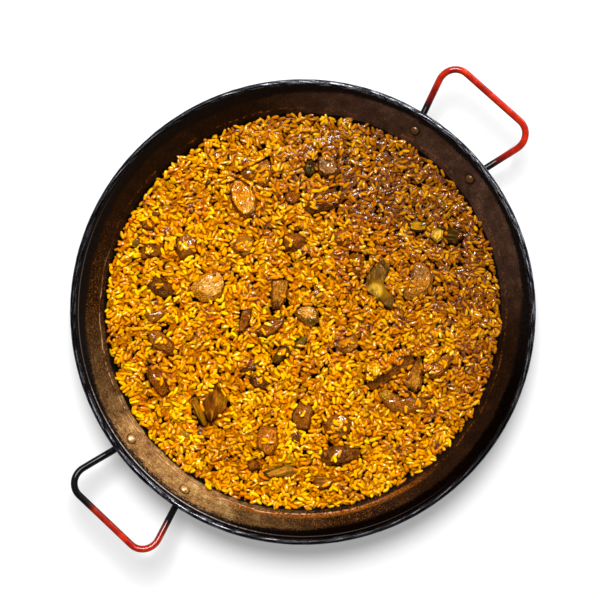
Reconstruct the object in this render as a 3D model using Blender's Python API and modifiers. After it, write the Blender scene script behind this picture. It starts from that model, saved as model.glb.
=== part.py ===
# Rice with pork in its wide two-handled pan.
# Metres, +Z up. The origin is on the ground under the middle of the pan, and the handles lie along X.
import math
from collections import namedtuple

import bmesh
import bpy
from mathutils import Matrix, Vector, noise
from mathutils.geometry import delaunay_2d_cdt

# Pan: a flat base, a straight sloping wall and a rolled rim.
RIM_RADIUS = 0.2325
BASE_RADIUS = 0.190
SHEET = 0.0015
BEAD_RADIUS = 0.003
RIM_HEIGHT = 0.0455
CORNER_RADIUS = 0.012
PAN_STEPS = 60
CORNER_STEPS = 3
BEAD_STEPS = 8

# The wall rises from the base edge to the rim bead, whose roll is tangent to its inner face.
BEAD_CENTRE = RIM_RADIUS - BEAD_RADIUS
WALL_TOP = BEAD_CENTRE - 0.00195
WALL_ANGLE = math.atan2(RIM_HEIGHT, WALL_TOP - BASE_RADIUS)

# Handles: a bent rod with a flat tab at each end, riveted to the wall.
ROD_RADIUS = 0.0035
HANDLE_REACH = 0.2856
HANDLE_HALF_WIDTH = 0.058
HANDLE_BEND = 0.017
HANDLE_TOP = 0.050
HANDLE_LOW = 0.0378
HANDLE_RISE_START = 0.236
HANDLE_LEAN = math.radians(1.0)
TAB_SIZE = (0.020, 0.013, 0.003)
TAB_RAISE = 0.003
BEND_STEPS = 5
LEG_STEPS = 3

# Rivets: a domed head inside the pan, a shank through wall and tab, and a low tail outside.
RIVET_HEIGHT = 0.0315
RIVET_SPREAD = math.radians(9.9)
SHANK_RADIUS = 0.0023
HOLE_RADIUS = 0.0027
HEAD_RADIUS = 0.0047
HEAD_HEIGHT = 0.0028
TAIL_RADIUS = 0.0040
TAIL_HEIGHT = 0.0016
RIVET_STEPS = 10

# Rice: a shallow bed with bumps as large as its grains and a ragged edge.
RICE_TOP = 0.0180
RICE_PITCH = 0.0075
BUMP_HEIGHT = 0.0016
SWELL_HEIGHT = 0.0014
SWELL_LENGTH = 0.055
EDGE_DROP = 0.0032
EDGE_RAGGED = 0.0030
EDGE_POINTS = 160
WALL_GAP = 0.0013

# Toppings: chunks of pork and artichoke pressed into pockets of the rice.
GAP = 0.0003
POCKET_GAP = 0.0005
POCKET_FLOOR = 0.0095
SHOULDER = 0.80

# Places are in millimetres to the right of and above the pan's middle, in a plan where the front
# handle points up and right by PLAN_TURN. Turn is the long side's angle in degrees, proud the height
# over the rice in millimetres, taper how much one end narrows, bend how far the middle bows out,
# and round how square the outline is, from 2 for an oval upward.
PLAN_TURN = math.radians(47.45)
Piece = namedtuple("Piece", "kind right up length width turn proud taper bend round")
PIECES = [
    Piece("pork", -59, 110, 32, 24, -62, 7.5, 0.15, 0.0, 3.2),
    Piece("pork", -43, 141, 29, 20, 30, 5.5, 0.0, 0.0, 2.6),
    Piece("pork", 26, 145, 21, 20, -12, 7.0, 0.0, 0.0, 4.0),
    Piece("artichoke", 7, 145, 19, 9, 95, 3.0, 0.2, 0.10, 2.4),
    Piece("pork", 21, 110, 36, 20, 15, 7.0, 0.1, 0.0, 3.4),
    Piece("pork", -10, 115, 15, 14, 20, 4.0, 0.2, 0.0, 3.4),
    Piece("pork", -10, 69, 22, 19, 10, 5.0, 0.1, 0.0, 3.0),
    Piece("pork", 39, 74, 22, 17, -20, 4.5, 0.0, 0.25, 2.6),
    Piece("artichoke", 115, 84, 14, 11, 80, 4.0, 0.0, 0.0, 2.4),
    Piece("artichoke", 133, 78, 20, 18, 10, 5.5, 0.1, 0.0, 2.6),
    Piece("artichoke", 150, 80, 17, 11, 95, 4.5, 0.0, 0.0, 2.4),
    Piece("pork", -142, 24, 25, 21, -30, 5.5, 0.45, 0.0, 3.2),
    Piece("pork", -93, 25, 33, 27, 25, 8.0, 0.1, 0.0, 3.6),
    Piece("pork", -116, 65, 24, 20, 85, 5.0, 0.1, 0.0, 2.8),
    Piece("pork", -152, 61, 22, 15, 10, 4.5, 0.1, 0.0, 3.0),
    Piece("pork", -142, -31, 30, 16, -40, 4.5, 0.1, 0.0, 2.8),
    Piece("pork", -59, 66, 22, 18, 80, 4.5, 0.0, 0.0, 3.0),
    Piece("pork", -23, 17, 28, 17, 97, 7.0, 0.1, 0.0, 3.4),
    Piece("pork", 4, -4, 24, 20, -10, 6.0, 0.1, 0.0, 3.0),
    Piece("pork", -55, -10, 26, 13, 65, 5.5, 0.1, 0.0, 4.0),
    Piece("pork", -32, -15, 29, 14, 32, 6.0, 0.1, 0.0, 4.0),
    Piece("pork", 53, 46, 25, 16, 80, 4.5, 0.0, 0.0, 2.8),
    Piece("pork", 45, -33, 24, 16, 20, 4.5, 0.0, 0.0, 2.8),
    Piece("artichoke", -2, -31, 15, 8, 45, 3.5, 0.2, 0.0, 3.0),
    Piece("artichoke", -21, -42, 22, 12, 35, 4.5, 0.1, 0.15, 2.8),
    Piece("pork", -44, -71, 17, 13, -30, 4.5, 0.2, 0.0, 3.0),
    Piece("artichoke", 78, 21, 42, 14, -52, 6.5, 0.15, 0.32, 2.6),
    Piece("pork", 116, 31, 38, 25, 55, 7.0, 0.12, 0.0, 2.8),
    Piece("pork", 140, -49, 42, 20, 50, 6.0, 0.0, 0.0, 2.8),
    Piece("pork", -144, -71, 34, 15, -60, 6.0, 0.1, 0.18, 3.0),
    Piece("artichoke", -87, -90, 38, 25, 98, 6.5, 0.3, 0.0, 2.0),
    Piece("artichoke", -103, -101, 34, 9, -65, 5.0, 0.2, 0.0, 2.6),
    Piece("pork", -1, -106, 25, 20, 90, 6.0, 0.0, 0.0, 3.4),
    Piece("pork", 35, -114, 28, 23, 35, 5.0, 0.1, 0.0, 3.0),
    Piece("pork", 37, -144, 43, 18, 5, 6.5, 0.1, 0.10, 3.2),
    Piece("pork", -35, -128, 28, 20, 85, 6.0, 0.1, 0.0, 3.0),
    Piece("artichoke", -23, -160, 32, 14, -170, 5.0, 0.45, 0.0, 2.8),
    Piece("artichoke", 20, -171, 21, 14, 0, 4.0, 0.2, 0.0, 2.8),
    Piece("pork", -50, -154, 13, 12, 20, 4.0, 0.0, 0.0, 3.0),
    Piece("pork", 85, -62, 42, 14, 35, 7.0, 0.0, 0.0, 4.5),
    Piece("pork", 114, -69, 25, 17, 90, 6.0, 0.45, 0.0, 3.2),
    Piece("pork", 102, -92, 40, 20, -15, 4.5, 0.1, 0.0, 3.4),
    Piece("pork", -154, 87, 16, 10, 10, 3.5, 0.0, 0.0, 2.6),
]
LUMP = 0.10
TOP_LUMP = 0.0016
SMALL_PIECE = 0.018
FINE_CUTS = 2
COARSE_CUTS = 1

# Colours, with roughness and metallic value.
PAN_LOOK = ((0.030, 0.020, 0.014, 1.0), 0.42, 0.7)
HANDLE_LOOK = ((0.55, 0.035, 0.015, 1.0), 0.25, 0.0)
RIVET_LOOK = ((0.70, 0.62, 0.50, 1.0), 0.25, 1.0)
RICE_LOOK = ((0.60, 0.24, 0.012, 1.0), 0.40, 0.0)
PORK_LOOK = ((0.30, 0.12, 0.030, 1.0), 0.45, 0.0)
ARTICHOKE_LOOK = ((0.24, 0.17, 0.045, 1.0), 0.40, 0.0)


def clear_scene():
    for old in list(bpy.data.objects):
        bpy.data.objects.remove(old, do_unlink=True)


def new_collection(name):
    collection = bpy.data.collections.new(name)
    bpy.context.scene.collection.children.link(collection)
    return collection


def new_material(name, look):
    colour, roughness, metallic = look
    material = bpy.data.materials.new(name)
    material.use_nodes = True
    shader = material.node_tree.nodes["Principled BSDF"]
    shader.inputs["Base Color"].default_value = colour
    shader.inputs["Roughness"].default_value = roughness
    shader.inputs["Metallic"].default_value = metallic
    material.diffuse_color = colour
    return material


def mesh_object(name, bm, collection, look=None):
    """Turn a bmesh into an object of the collection, with a material of its own."""
    bmesh.ops.recalc_face_normals(bm, faces=bm.faces)
    mesh = bpy.data.meshes.new(name)
    bm.to_mesh(mesh)
    bm.free()
    item = bpy.data.objects.new(name, mesh)
    collection.objects.link(item)
    if look:
        mesh.materials.append(new_material(name, look))
    return item


def hide_cutter(item):
    item.hide_render = True
    item.display_type = "WIRE"


def cut(item, cutter, operation="DIFFERENCE"):
    step = item.modifiers.new(cutter.name, "BOOLEAN")
    step.operation = operation
    step.solver = "EXACT"
    step.object = cutter


def inner_radius(height):
    """Radius of the wall's inner face at a height above the ground."""
    return BASE_RADIUS + height / math.tan(WALL_ANGLE) - SHEET / math.sin(WALL_ANGLE)


def outer_radius(height):
    return BASE_RADIUS + height / math.tan(WALL_ANGLE)


def corner_arc(radius):
    """Points of the rounded base corner, from the base to the wall."""
    centre_r = BASE_RADIUS - CORNER_RADIUS * math.tan(WALL_ANGLE / 2)
    points = []
    for step in range(CORNER_STEPS + 1):
        angle = -math.pi / 2 + WALL_ANGLE * step / CORNER_STEPS
        points.append((centre_r + radius * math.cos(angle), CORNER_RADIUS + radius * math.sin(angle)))
    return points


def bead_arc():
    """The rolled rim, from the tangent with the inner face over the top to the outer face."""
    start = math.pi / 2 + WALL_ANGLE
    turn = math.radians(300)
    points = []
    for step in range(BEAD_STEPS + 1):
        angle = start - turn * step / BEAD_STEPS
        radius = BEAD_CENTRE + BEAD_RADIUS * math.cos(angle)
        points.append((radius, RIM_HEIGHT + BEAD_RADIUS * math.sin(angle)))
    return points


def make_pan(parts, holes):
    profile = [(0.0, SHEET)] + corner_arc(CORNER_RADIUS - SHEET) + bead_arc()
    profile += list(reversed(corner_arc(CORNER_RADIUS))) + [(0.0, 0.0)]
    bm = bmesh.new()
    verts = [bm.verts.new((radius, 0.0, height)) for radius, height in profile]
    for first, second in zip(verts, verts[1:]):
        bm.edges.new((first, second))
    mesh = bpy.data.meshes.new("pan")
    bm.to_mesh(mesh)
    bm.free()
    pan = bpy.data.objects.new("pan", mesh)
    parts.objects.link(pan)
    mesh.materials.append(new_material("pan", PAN_LOOK))
    screw = pan.modifiers.new("turn", "SCREW")
    screw.steps = PAN_STEPS
    screw.render_steps = PAN_STEPS
    screw.use_merge_vertices = True
    screw.merge_threshold = 0.00001
    for hole in holes:
        cut(pan, hole)
    return pan


def handle_frame(side):
    """Matrix of a handle: local X runs outward along its axis. Side is 1 at +X and -1 at -X."""
    angle = HANDLE_LEAN if side > 0 else math.pi - HANDLE_LEAN
    return Matrix.Rotation(angle, 4, "Z")


def rivet_frame(side, end):
    """Matrix of a rivet: local Z points into the pan, square to the wall, from its outer face."""
    turn = handle_frame(side) @ Matrix.Rotation(end * RIVET_SPREAD, 4, "Z")
    place = Matrix.Translation((outer_radius(RIVET_HEIGHT), 0.0, RIVET_HEIGHT))
    tilt = Matrix.Rotation(-WALL_ANGLE, 4, "Y")
    return turn @ place @ tilt


def make_hole_cutter(name, frame, cutters):
    bm = bmesh.new()
    bmesh.ops.create_cone(bm, cap_ends=True, segments=RIVET_STEPS, radius1=HOLE_RADIUS,
                          radius2=HOLE_RADIUS, depth=0.030)
    cutter = mesh_object(name, bm, cutters)
    cutter.matrix_world = frame
    hide_cutter(cutter)
    return cutter


def rivet_profile():
    """Half outline from the top of the inner dome to the middle of the tail."""
    head_base = SHEET + GAP * 2
    points = []
    for step in range(4):
        angle = math.pi / 2 * step / 3
        points.append((HEAD_RADIUS * math.sin(angle), head_base + HEAD_HEIGHT * math.cos(angle)))
    tail_top = -(GAP * 2 + TAB_SIZE[2])
    points.append((SHANK_RADIUS, head_base))
    points.append((SHANK_RADIUS, tail_top))
    points.append((TAIL_RADIUS, tail_top))
    points.append((TAIL_RADIUS * 0.7, tail_top - TAIL_HEIGHT))
    points.append((0.0, tail_top - TAIL_HEIGHT))
    return points


def make_rivet(name, frame, parts):
    bm = bmesh.new()
    verts = [bm.verts.new((radius, 0.0, height)) for radius, height in rivet_profile()]
    for first, second in zip(verts, verts[1:]):
        bm.edges.new((first, second))
    mesh = bpy.data.meshes.new(name)
    bm.to_mesh(mesh)
    bm.free()
    rivet = bpy.data.objects.new(name, mesh)
    parts.objects.link(rivet)
    mesh.materials.append(new_material(name, RIVET_LOOK))
    rivet.matrix_world = frame
    screw = rivet.modifiers.new("turn", "SCREW")
    screw.steps = RIVET_STEPS
    screw.render_steps = RIVET_STEPS
    screw.use_merge_vertices = True
    screw.merge_threshold = 0.00001
    return rivet


def rod_height(reach):
    """The rod leaves the tab level, passes under the bead and rises to the grip."""
    share = (reach - HANDLE_RISE_START) / (HANDLE_REACH - HANDLE_RISE_START)
    share = min(max(share, 0.0), 1.0)
    return HANDLE_LOW + (HANDLE_TOP - HANDLE_LOW) * share * share * (3 - 2 * share)


def rod_points():
    """The rod's middle line: a leg, a rounded corner, the grip, and the same mirrored."""
    foot_r = outer_radius(HANDLE_LOW) - 0.002
    foot = Vector((foot_r * math.cos(RIVET_SPREAD), foot_r * math.sin(RIVET_SPREAD)))
    corner = Vector((HANDLE_REACH, HANDLE_HALF_WIDTH))
    leg = (corner - foot).normalized()
    turn = math.pi / 2 + math.atan2(leg.y, leg.x)
    inset = HANDLE_BEND * math.tan(turn / 2)
    bend_start = corner - leg * inset
    half = [foot.lerp(bend_start, step / LEG_STEPS) for step in range(LEG_STEPS)]
    centre = bend_start + Vector((leg.y, -leg.x)) * HANDLE_BEND
    spoke = bend_start - centre
    for step in range(BEND_STEPS + 1):
        angle = -turn * step / BEND_STEPS
        half.append(centre + Matrix.Rotation(angle, 2) @ spoke)
    points = half + [Vector((point.x, -point.y)) for point in reversed(half)]
    return [Vector((point.x, point.y, rod_height(point.x))) for point in points]


def make_rod(name, frame, parts):
    curve = bpy.data.curves.new(name, "CURVE")
    curve.dimensions = "3D"
    curve.bevel_depth = ROD_RADIUS
    curve.bevel_resolution = 2
    curve.use_fill_caps = True
    points = rod_points()
    spline = curve.splines.new("POLY")
    spline.points.add(len(points) - 1)
    for target, point in zip(spline.points, points):
        target.co = (*point, 1.0)
    drawn = bpy.data.objects.new(name + "_line", curve)
    parts.objects.link(drawn)
    drawn.matrix_world = frame
    bpy.context.view_layer.update()
    evaluated = drawn.evaluated_get(bpy.context.evaluated_depsgraph_get())
    bm = bmesh.new()
    bm.from_mesh(bpy.data.meshes.new_from_object(evaluated))
    bmesh.ops.remove_doubles(bm, verts=bm.verts, dist=0.00001)
    rod = mesh_object(name, bm, parts, HANDLE_LOOK)
    rod.matrix_world = drawn.matrix_world
    bpy.data.objects.remove(drawn, do_unlink=True)
    return rod


def make_tab(name, frame, cutters):
    """A flat plate on the wall's outer face, round its rivet and up to the rod's end."""
    length, width, thickness = TAB_SIZE
    bm = bmesh.new()
    bmesh.ops.create_cube(bm, size=1.0)
    bmesh.ops.scale(bm, vec=(length, width, thickness), verts=bm.verts)
    offset = Vector((TAB_RAISE, 0.0, -(GAP + thickness / 2)))
    bmesh.ops.translate(bm, vec=offset, verts=bm.verts)
    upright = [edge for edge in bm.edges if abs(edge.verts[0].co.z - edge.verts[1].co.z) > thickness / 2]
    bmesh.ops.bevel(bm, geom=upright, offset=width * 0.35, segments=2, affect="EDGES")
    tab = mesh_object(name, bm, cutters)
    tab.matrix_world = frame
    hide_cutter(tab)
    return tab


def make_wall_clearance(cutters):
    """A solid cone just outside the wall, which trims the rods' ends inside their tabs."""
    low = 0.020
    high = 0.060
    offset = (GAP + TAB_SIZE[2] / 2) / math.sin(WALL_ANGLE)
    bm = bmesh.new()
    bmesh.ops.create_cone(bm, cap_ends=True, segments=PAN_STEPS * 2, radius1=outer_radius(low) + offset,
                          radius2=outer_radius(high) + offset, depth=high - low)
    cone = mesh_object("wall_clearance", bm, cutters)
    cone.location.z = (low + high) / 2
    hide_cutter(cone)
    return cone


def make_handle(name, side, parts, cutters, clearance, holes):
    handle = make_rod(name, handle_frame(side), parts)
    cut(handle, clearance)
    for end in (-1, 1):
        tab = make_tab(f"{name}_tab_{end + 2}", rivet_frame(side, end), cutters)
        cut(handle, tab, "UNION")
    for hole in holes:
        cut(handle, hole)
    return handle


def plan_place(piece):
    """Matrix from a piece's own plan, in metres, to the pan's frame."""
    turn = Matrix.Rotation(-PLAN_TURN, 4, "Z")
    place = Matrix.Translation((piece.right / 1000, piece.up / 1000, 0.0))
    return turn @ place @ Matrix.Rotation(math.radians(piece.turn), 4, "Z")


def piece_seed(piece):
    return Vector((piece.right * 0.37, piece.up * 0.53, piece.length * 0.29))


def plan_point(piece, u, v):
    """Where the square coordinates u and v, from -1 to 1, lie on a piece's rounded plan."""
    reach = max(abs(u), abs(v))
    if reach < 1e-6:
        return Vector((0.0, 0.0, 0.0))
    power = piece.round
    norm = (abs(u / reach) ** power + abs(v / reach) ** power) ** (1 / power)
    x = u / norm
    y = v / norm
    lump = 1 + LUMP * noise.noise(Vector((x, y, 0.0)) * 1.3 + piece_seed(piece))
    width = piece.width * (1 - piece.taper * (x + 1) / 2)
    side = y * width * lump / 2 + piece.bend * piece.width * (0.4 - x * x)
    return Vector((x * piece.length * lump / 2, side, 0.0)) / 1000


def piece_cuts(piece):
    return FINE_CUTS if piece.width / 1000 * piece.length / 1000 > SMALL_PIECE ** 2 else COARSE_CUTS


def outline_squares(cuts):
    """The square coordinates of the outline's points, counter-clockwise."""
    steps = cuts + 1
    side = [-1 + 2 * step / steps for step in range(steps)]
    south = [(value, -1.0) for value in side]
    east = [(1.0, value) for value in side]
    north = [(-value, 1.0) for value in side]
    west = [(-1.0, -value) for value in side]
    return south + east + north + west


def pocket_outline(piece):
    """The piece's outline in the pan's frame, widened by the gap round it."""
    frame = plan_place(piece)
    points = []
    for u, v in outline_squares(piece_cuts(piece)):
        local = plan_point(piece, u, v)
        local += local.normalized() * POCKET_GAP
        points.append((frame @ local).xy)
    return points


def rice_level(x, y):
    """Height of the rice before its bumps: slow swells over a nearly level bed."""
    swell = noise.noise(Vector((x, y, 0.0)) / SWELL_LENGTH + Vector((3.1, 7.7, 0.4)))
    return RICE_TOP + SWELL_HEIGHT * swell


def rice_bump(x, y):
    grain = noise.noise(Vector((x, y, 0.0)) / (RICE_PITCH * 0.63) + Vector((11.3, 2.9, 5.1)))
    return 2.2 * BUMP_HEIGHT * grain


def make_topping(name, piece, parts):
    """A chunk with straight buried sides, rounded shoulders and a lumpy top."""
    cuts = piece_cuts(piece)
    centre = plan_place(piece).translation
    floor = POCKET_FLOOR + GAP
    top = rice_level(centre.x, centre.y) + piece.proud / 1000
    bm = bmesh.new()
    bmesh.ops.create_cube(bm, size=2.0)
    bmesh.ops.subdivide_edges(bm, edges=bm.edges, cuts=cuts, use_grid_fill=True)
    for vert in bm.verts:
        u, v, level = vert.co
        reach = max(abs(u), abs(v))
        place = plan_point(piece, u, v)
        share = (level + 1) / 2
        if share > 0.99 and reach > 0.99:
            vert.co = place * 0.84
            vert.co.z = floor + (top - floor) * SHOULDER
        elif share > 0.99:
            vert.co = place * 0.9
            lump = noise.noise(place * 90 + piece_seed(piece) * 1.7)
            vert.co.z = top + TOP_LUMP * lump
        else:
            vert.co = place * (1.0 - 0.06 * abs(share - 0.5))
            vert.co.z = floor + (top - floor) * share * 0.92
    topping = mesh_object(name, bm, parts, PORK_LOOK if piece.kind == "pork" else ARTICHOKE_LOOK)
    topping.matrix_world = plan_place(piece)
    return topping


def inside(point, outline):
    """Whether a plan point lies inside a closed outline."""
    within = False
    last = outline[-1]
    for this in outline:
        if (this.y > point.y) != (last.y > point.y):
            crossing = this.x + (point.y - this.y) * (last.x - this.x) / (last.y - this.y)
            if point.x < crossing:
                within = not within
        last = this
    return within


def rice_edge():
    """The ragged edge of the rice, a little inside the wall."""
    points = []
    level = RICE_TOP - EDGE_DROP
    for step in range(EDGE_POINTS):
        angle = 2 * math.pi * step / EDGE_POINTS
        ragged = noise.noise(Vector((math.cos(angle), math.sin(angle), 0.0)) * 17)
        radius = inner_radius(level) - WALL_GAP - EDGE_RAGGED * min(max(0.5 + ragged, 0.0), 1.0)
        points.append(Vector((radius * math.cos(angle), radius * math.sin(angle))))
    return points


def rice_grid(outlines):
    """Jittered rings of plan points, at least half a pitch away from every pocket."""
    points = [Vector((0.0, 0.0))]
    last_ring = inner_radius(RICE_TOP) - WALL_GAP - EDGE_RAGGED - RICE_PITCH * 0.7
    ring_count = round(last_ring / RICE_PITCH)
    for ring in range(1, ring_count + 1):
        radius = last_ring * ring / ring_count
        count = round(2 * math.pi * radius / RICE_PITCH)
        for step in range(count):
            angle = 2 * math.pi * (step + 0.5 * (ring % 2)) / count
            shift = noise.noise_vector(Vector((ring * 1.37, step * 0.83, 2.2))) * RICE_PITCH * 0.35
            point = Vector((radius * math.cos(angle), radius * math.sin(angle))) + shift.xy
            if point.length > last_ring:
                point = point.normalized() * last_ring
            points.append(point)
    clear = RICE_PITCH * 0.38
    kept = []
    for point in points:
        near = False
        for outline in outlines:
            if inside(point, outline) or min((corner - point).length for corner in outline) < clear:
                near = True
                break
        if not near:
            kept.append(point)
    return kept


def make_rice(parts):
    """A bed of rice as one solid: bumpy top with a pocket for each topping, side and base."""
    outlines = [pocket_outline(piece) for piece in PIECES]
    edge = rice_edge()
    points = list(edge)
    rims = [list(range(len(edge)))]
    for outline in outlines:
        rims.append(list(range(len(points), len(points) + len(outline))))
        points += outline
    points += rice_grid(outlines)
    links = []
    for rim in rims:
        links += [(rim[index - 1], rim[index]) for index in range(len(rim))]
    flat, _, faces, _, _, _ = delaunay_2d_cdt(points, links, [], 0, 0.00001)

    bm = bmesh.new()
    top = []
    for index, point in enumerate(flat):
        height = rice_level(point.x, point.y) + rice_bump(point.x, point.y)
        if index < len(edge):
            height = RICE_TOP - EDGE_DROP
        elif index < rims[-1][-1] + 1:
            height = rice_level(point.x, point.y) - 0.0004
        top.append(bm.verts.new((point.x, point.y, height)))
    floors = {}
    for rim in rims[1:]:
        for index in rim:
            floors[index] = bm.verts.new((flat[index].x, flat[index].y, POCKET_FLOOR))
    for face in faces:
        middle = sum((flat[index] for index in face), Vector((0.0, 0.0))) / len(face)
        if not inside(middle, edge):
            continue
        sunk = all(index in floors for index in face) and any(inside(middle, outline) for outline in outlines)
        bm.faces.new([floors[index] if sunk else top[index] for index in face])
    for rim in rims[1:]:
        for index in range(len(rim)):
            first = rim[index - 1]
            second = rim[index]
            bm.faces.new((top[first], top[second], floors[second], floors[first]))
    add_rice_side(bm, [top[index] for index in rims[0]])
    return mesh_object("rice", bm, parts, RICE_LOOK)


def add_rice_side(bm, ring):
    """Close the bed below its edge, down the wall and across the base."""
    low = SHEET + GAP + 0.0001
    levels = [
        (0.0060, inner_radius(0.0060) - WALL_GAP),
        (low, BASE_RADIUS - CORNER_RADIUS * 0.75),
    ]
    for height, radius in levels:
        below = []
        for vert in ring:
            direction = vert.co.xy.normalized()
            below.append(bm.verts.new((direction.x * radius, direction.y * radius, height)))
        for index in range(len(ring)):
            bm.faces.new((ring[index - 1], ring[index], below[index], below[index - 1]))
        ring = below
    bm.faces.new(ring)


def main():
    clear_scene()
    parts = new_collection("rice_with_pork")
    cutters = new_collection("cutters")
    clearance = make_wall_clearance(cutters)
    holes = {}
    for side_name, side in (("front", 1), ("back", -1)):
        for end in (-1, 1):
            frame = rivet_frame(side, end)
            holes[side, end] = make_hole_cutter(f"hole_{side_name}_{end + 2}", frame, cutters)
            make_rivet(f"rivet_{side_name}_{(end + 3) // 2}", frame, parts)
    make_pan(parts, list(holes.values()))
    for side_name, side in (("front", 1), ("back", -1)):
        own = [holes[side, -1], holes[side, 1]]
        make_handle(f"handle_{side_name}", side, parts, cutters, clearance, own)
    make_rice(parts)
    counts = {"pork": 0, "artichoke": 0}
    for piece in PIECES:
        counts[piece.kind] += 1
        make_topping(f"{piece.kind}_{counts[piece.kind]:02d}", piece, parts)


main()
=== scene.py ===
# %% [markdown]
# A wide two-handled pan of yellow rice with browned pork and artichoke, seen from straight above.
# The construction model is loaded first and stays fixed. Everything below only dresses it: the pan is
# turned again with a fine rim and cooking stains, the handles are swept with worn paint, and the bed
# of rice becomes thousands of real grains. Every size is in metres.

# %% Load the fixed frame
import math
import random

import bmesh
import bpy
import numpy as np
from mathutils import Matrix, Vector, noise
from mathutils.bvhtree import BVHTree


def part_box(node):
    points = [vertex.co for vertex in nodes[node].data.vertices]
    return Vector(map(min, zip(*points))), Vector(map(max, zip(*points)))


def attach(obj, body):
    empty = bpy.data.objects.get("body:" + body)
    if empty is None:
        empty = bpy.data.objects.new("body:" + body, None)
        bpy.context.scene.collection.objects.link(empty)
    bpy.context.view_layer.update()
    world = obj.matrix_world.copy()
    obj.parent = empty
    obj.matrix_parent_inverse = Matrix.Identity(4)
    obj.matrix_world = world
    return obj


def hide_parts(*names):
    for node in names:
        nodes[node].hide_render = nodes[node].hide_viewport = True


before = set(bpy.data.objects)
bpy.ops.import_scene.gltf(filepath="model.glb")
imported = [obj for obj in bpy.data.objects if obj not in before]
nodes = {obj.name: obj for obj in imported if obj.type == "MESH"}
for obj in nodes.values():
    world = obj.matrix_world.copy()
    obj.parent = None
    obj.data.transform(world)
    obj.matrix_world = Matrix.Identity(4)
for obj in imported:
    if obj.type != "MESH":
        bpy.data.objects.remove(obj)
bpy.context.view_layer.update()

# %% [markdown]
# The wall of the pan is a straight cone between the base and the rolled rim, so its radius at any
# height is one line of algebra. Most pieces below ask for it: the stains on the wall, the grains
# that must not poke through it and the rivets that stand on it.

# %% Sizes of the pan and the bed
RIM_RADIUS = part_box("pan")[1].y
BASE_RADIUS = 0.190
SHEET = 0.0015
BEAD_RADIUS = 0.003
RIM_HEIGHT = 0.0455
CORNER_RADIUS = 0.012
RICE_TOP = 0.0180
SWELL_HEIGHT = 0.0014
SWELL_LENGTH = 0.055
WALL_ANGLE = math.atan2(RIM_HEIGHT, RIM_RADIUS - BEAD_RADIUS - 0.00195 - BASE_RADIUS)


def outer_radius(height):
    return BASE_RADIUS + height / math.tan(WALL_ANGLE)


def inner_radius(height):
    return outer_radius(height) - SHEET / math.sin(WALL_ANGLE)


def clamp(value, low=0.0, high=1.0):
    return min(max(value, low), high)


def eased(value):
    """A share from 0 to 1 that starts and ends slowly."""
    share = clamp(value)
    return share * share * (3 - 2 * share)


def rice_level(x, y):
    """Height of the bed: slow swells over a nearly level surface."""
    swell = noise.noise(Vector((x, y, 0.0)) / SWELL_LENGTH + Vector((3.1, 7.7, 0.4)))
    return RICE_TOP + SWELL_HEIGHT * swell


print("wall leans", round(90 - math.degrees(WALL_ANGLE), 1), "degrees out of the upright")

# %% [markdown]
# The photograph was taken from above, with the handles running from lower left to upper right. The
# camera is turned by that angle instead of the pan, because the construction frame stays as it is.
# A long lens at about one and a half metres keeps the rim a circle and shows a little of the wall.

# %% Camera
PLAN_TURN = math.radians(47.45)
RIGHT = Vector((math.cos(PLAN_TURN), -math.sin(PLAN_TURN), 0.0))
UP = Vector((math.sin(PLAN_TURN), math.cos(PLAN_TURN), 0.0))
CAMERA_ABOVE_RIM = 1.55
ZOOM = 1.0038
FRAME_WIDTH = 0.600
SENSOR = 36.0
PAN_RIGHT_OF_MIDDLE = 0.0029
PAN_BELOW_MIDDLE = 0.0120
PIXELS = 600


def linked(name, data):
    """A new object in the scene's collection."""
    thing = bpy.data.objects.new(name, data)
    bpy.context.scene.collection.objects.link(thing)
    return thing


camera_data = bpy.data.cameras.new("camera")
camera_data.sensor_width = SENSOR
camera_data.lens = SENSOR * CAMERA_ABOVE_RIM / FRAME_WIDTH * ZOOM
camera = linked("camera", camera_data)
camera.location = UP * PAN_BELOW_MIDDLE - RIGHT * PAN_RIGHT_OF_MIDDLE
camera.location.z = RIM_HEIGHT + BEAD_RADIUS + CAMERA_ABOVE_RIM
camera.rotation_euler = (0.0, 0.0, -PLAN_TURN)
bpy.context.scene.camera = camera


def from_picture(column, row, height):
    """Place in plan of a point of the photograph, given in its pixels, at a height over the floor."""
    metres = FRAME_WIDTH / PIXELS / ZOOM * (camera.location.z - height) / CAMERA_ABOVE_RIM
    right = (column - PIXELS / 2) * metres - PAN_RIGHT_OF_MIDDLE
    up = (PIXELS / 2 - row) * metres + PAN_BELOW_MIDDLE
    return RIGHT * right + UP * up


print("lens", round(camera_data.lens, 1), "mm")

# %% [markdown]
# Soft daylight falls from the top of the picture and throws short soft shadows down it. A second,
# low and wide light from the upper right grazes the food and makes the far wall gleam. The floor is
# plain and pale, so that it turns white where no shadow falls.

# %% Lights and floor
KEY_POWER = 226.0
STRIP_POWER = 6.0
SKY_STRENGTH = 0.17


def area_light(name, direction, distance, power, width, depth=None):
    """A soft light aimed at the pan: a disk, or a rectangle where a depth is given."""
    data = bpy.data.lights.new(name, "AREA")
    data.shape = "RECTANGLE" if depth else "DISK"
    data.size = width
    data.size_y = depth or width
    data.energy = power
    light = linked(name, data)
    light.location = direction.normalized() * distance
    light.rotation_euler = direction.to_track_quat("Z", "Y").to_euler()


def from_above(turn, rise):
    """Direction of a light: turn in degrees clockwise from the picture's top, rise above the floor."""
    turn = math.radians(turn)
    rise = math.radians(rise)
    flat = UP * math.cos(turn) + RIGHT * math.sin(turn)
    return flat * math.cos(rise) + Vector((0.0, 0.0, math.sin(rise)))


area_light("key", from_above(turn=-5, rise=63), distance=3.6, power=KEY_POWER, width=1.80)
area_light("strip", from_above(turn=48, rise=20), distance=1.5, power=STRIP_POWER, width=0.9, depth=0.30)

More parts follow.
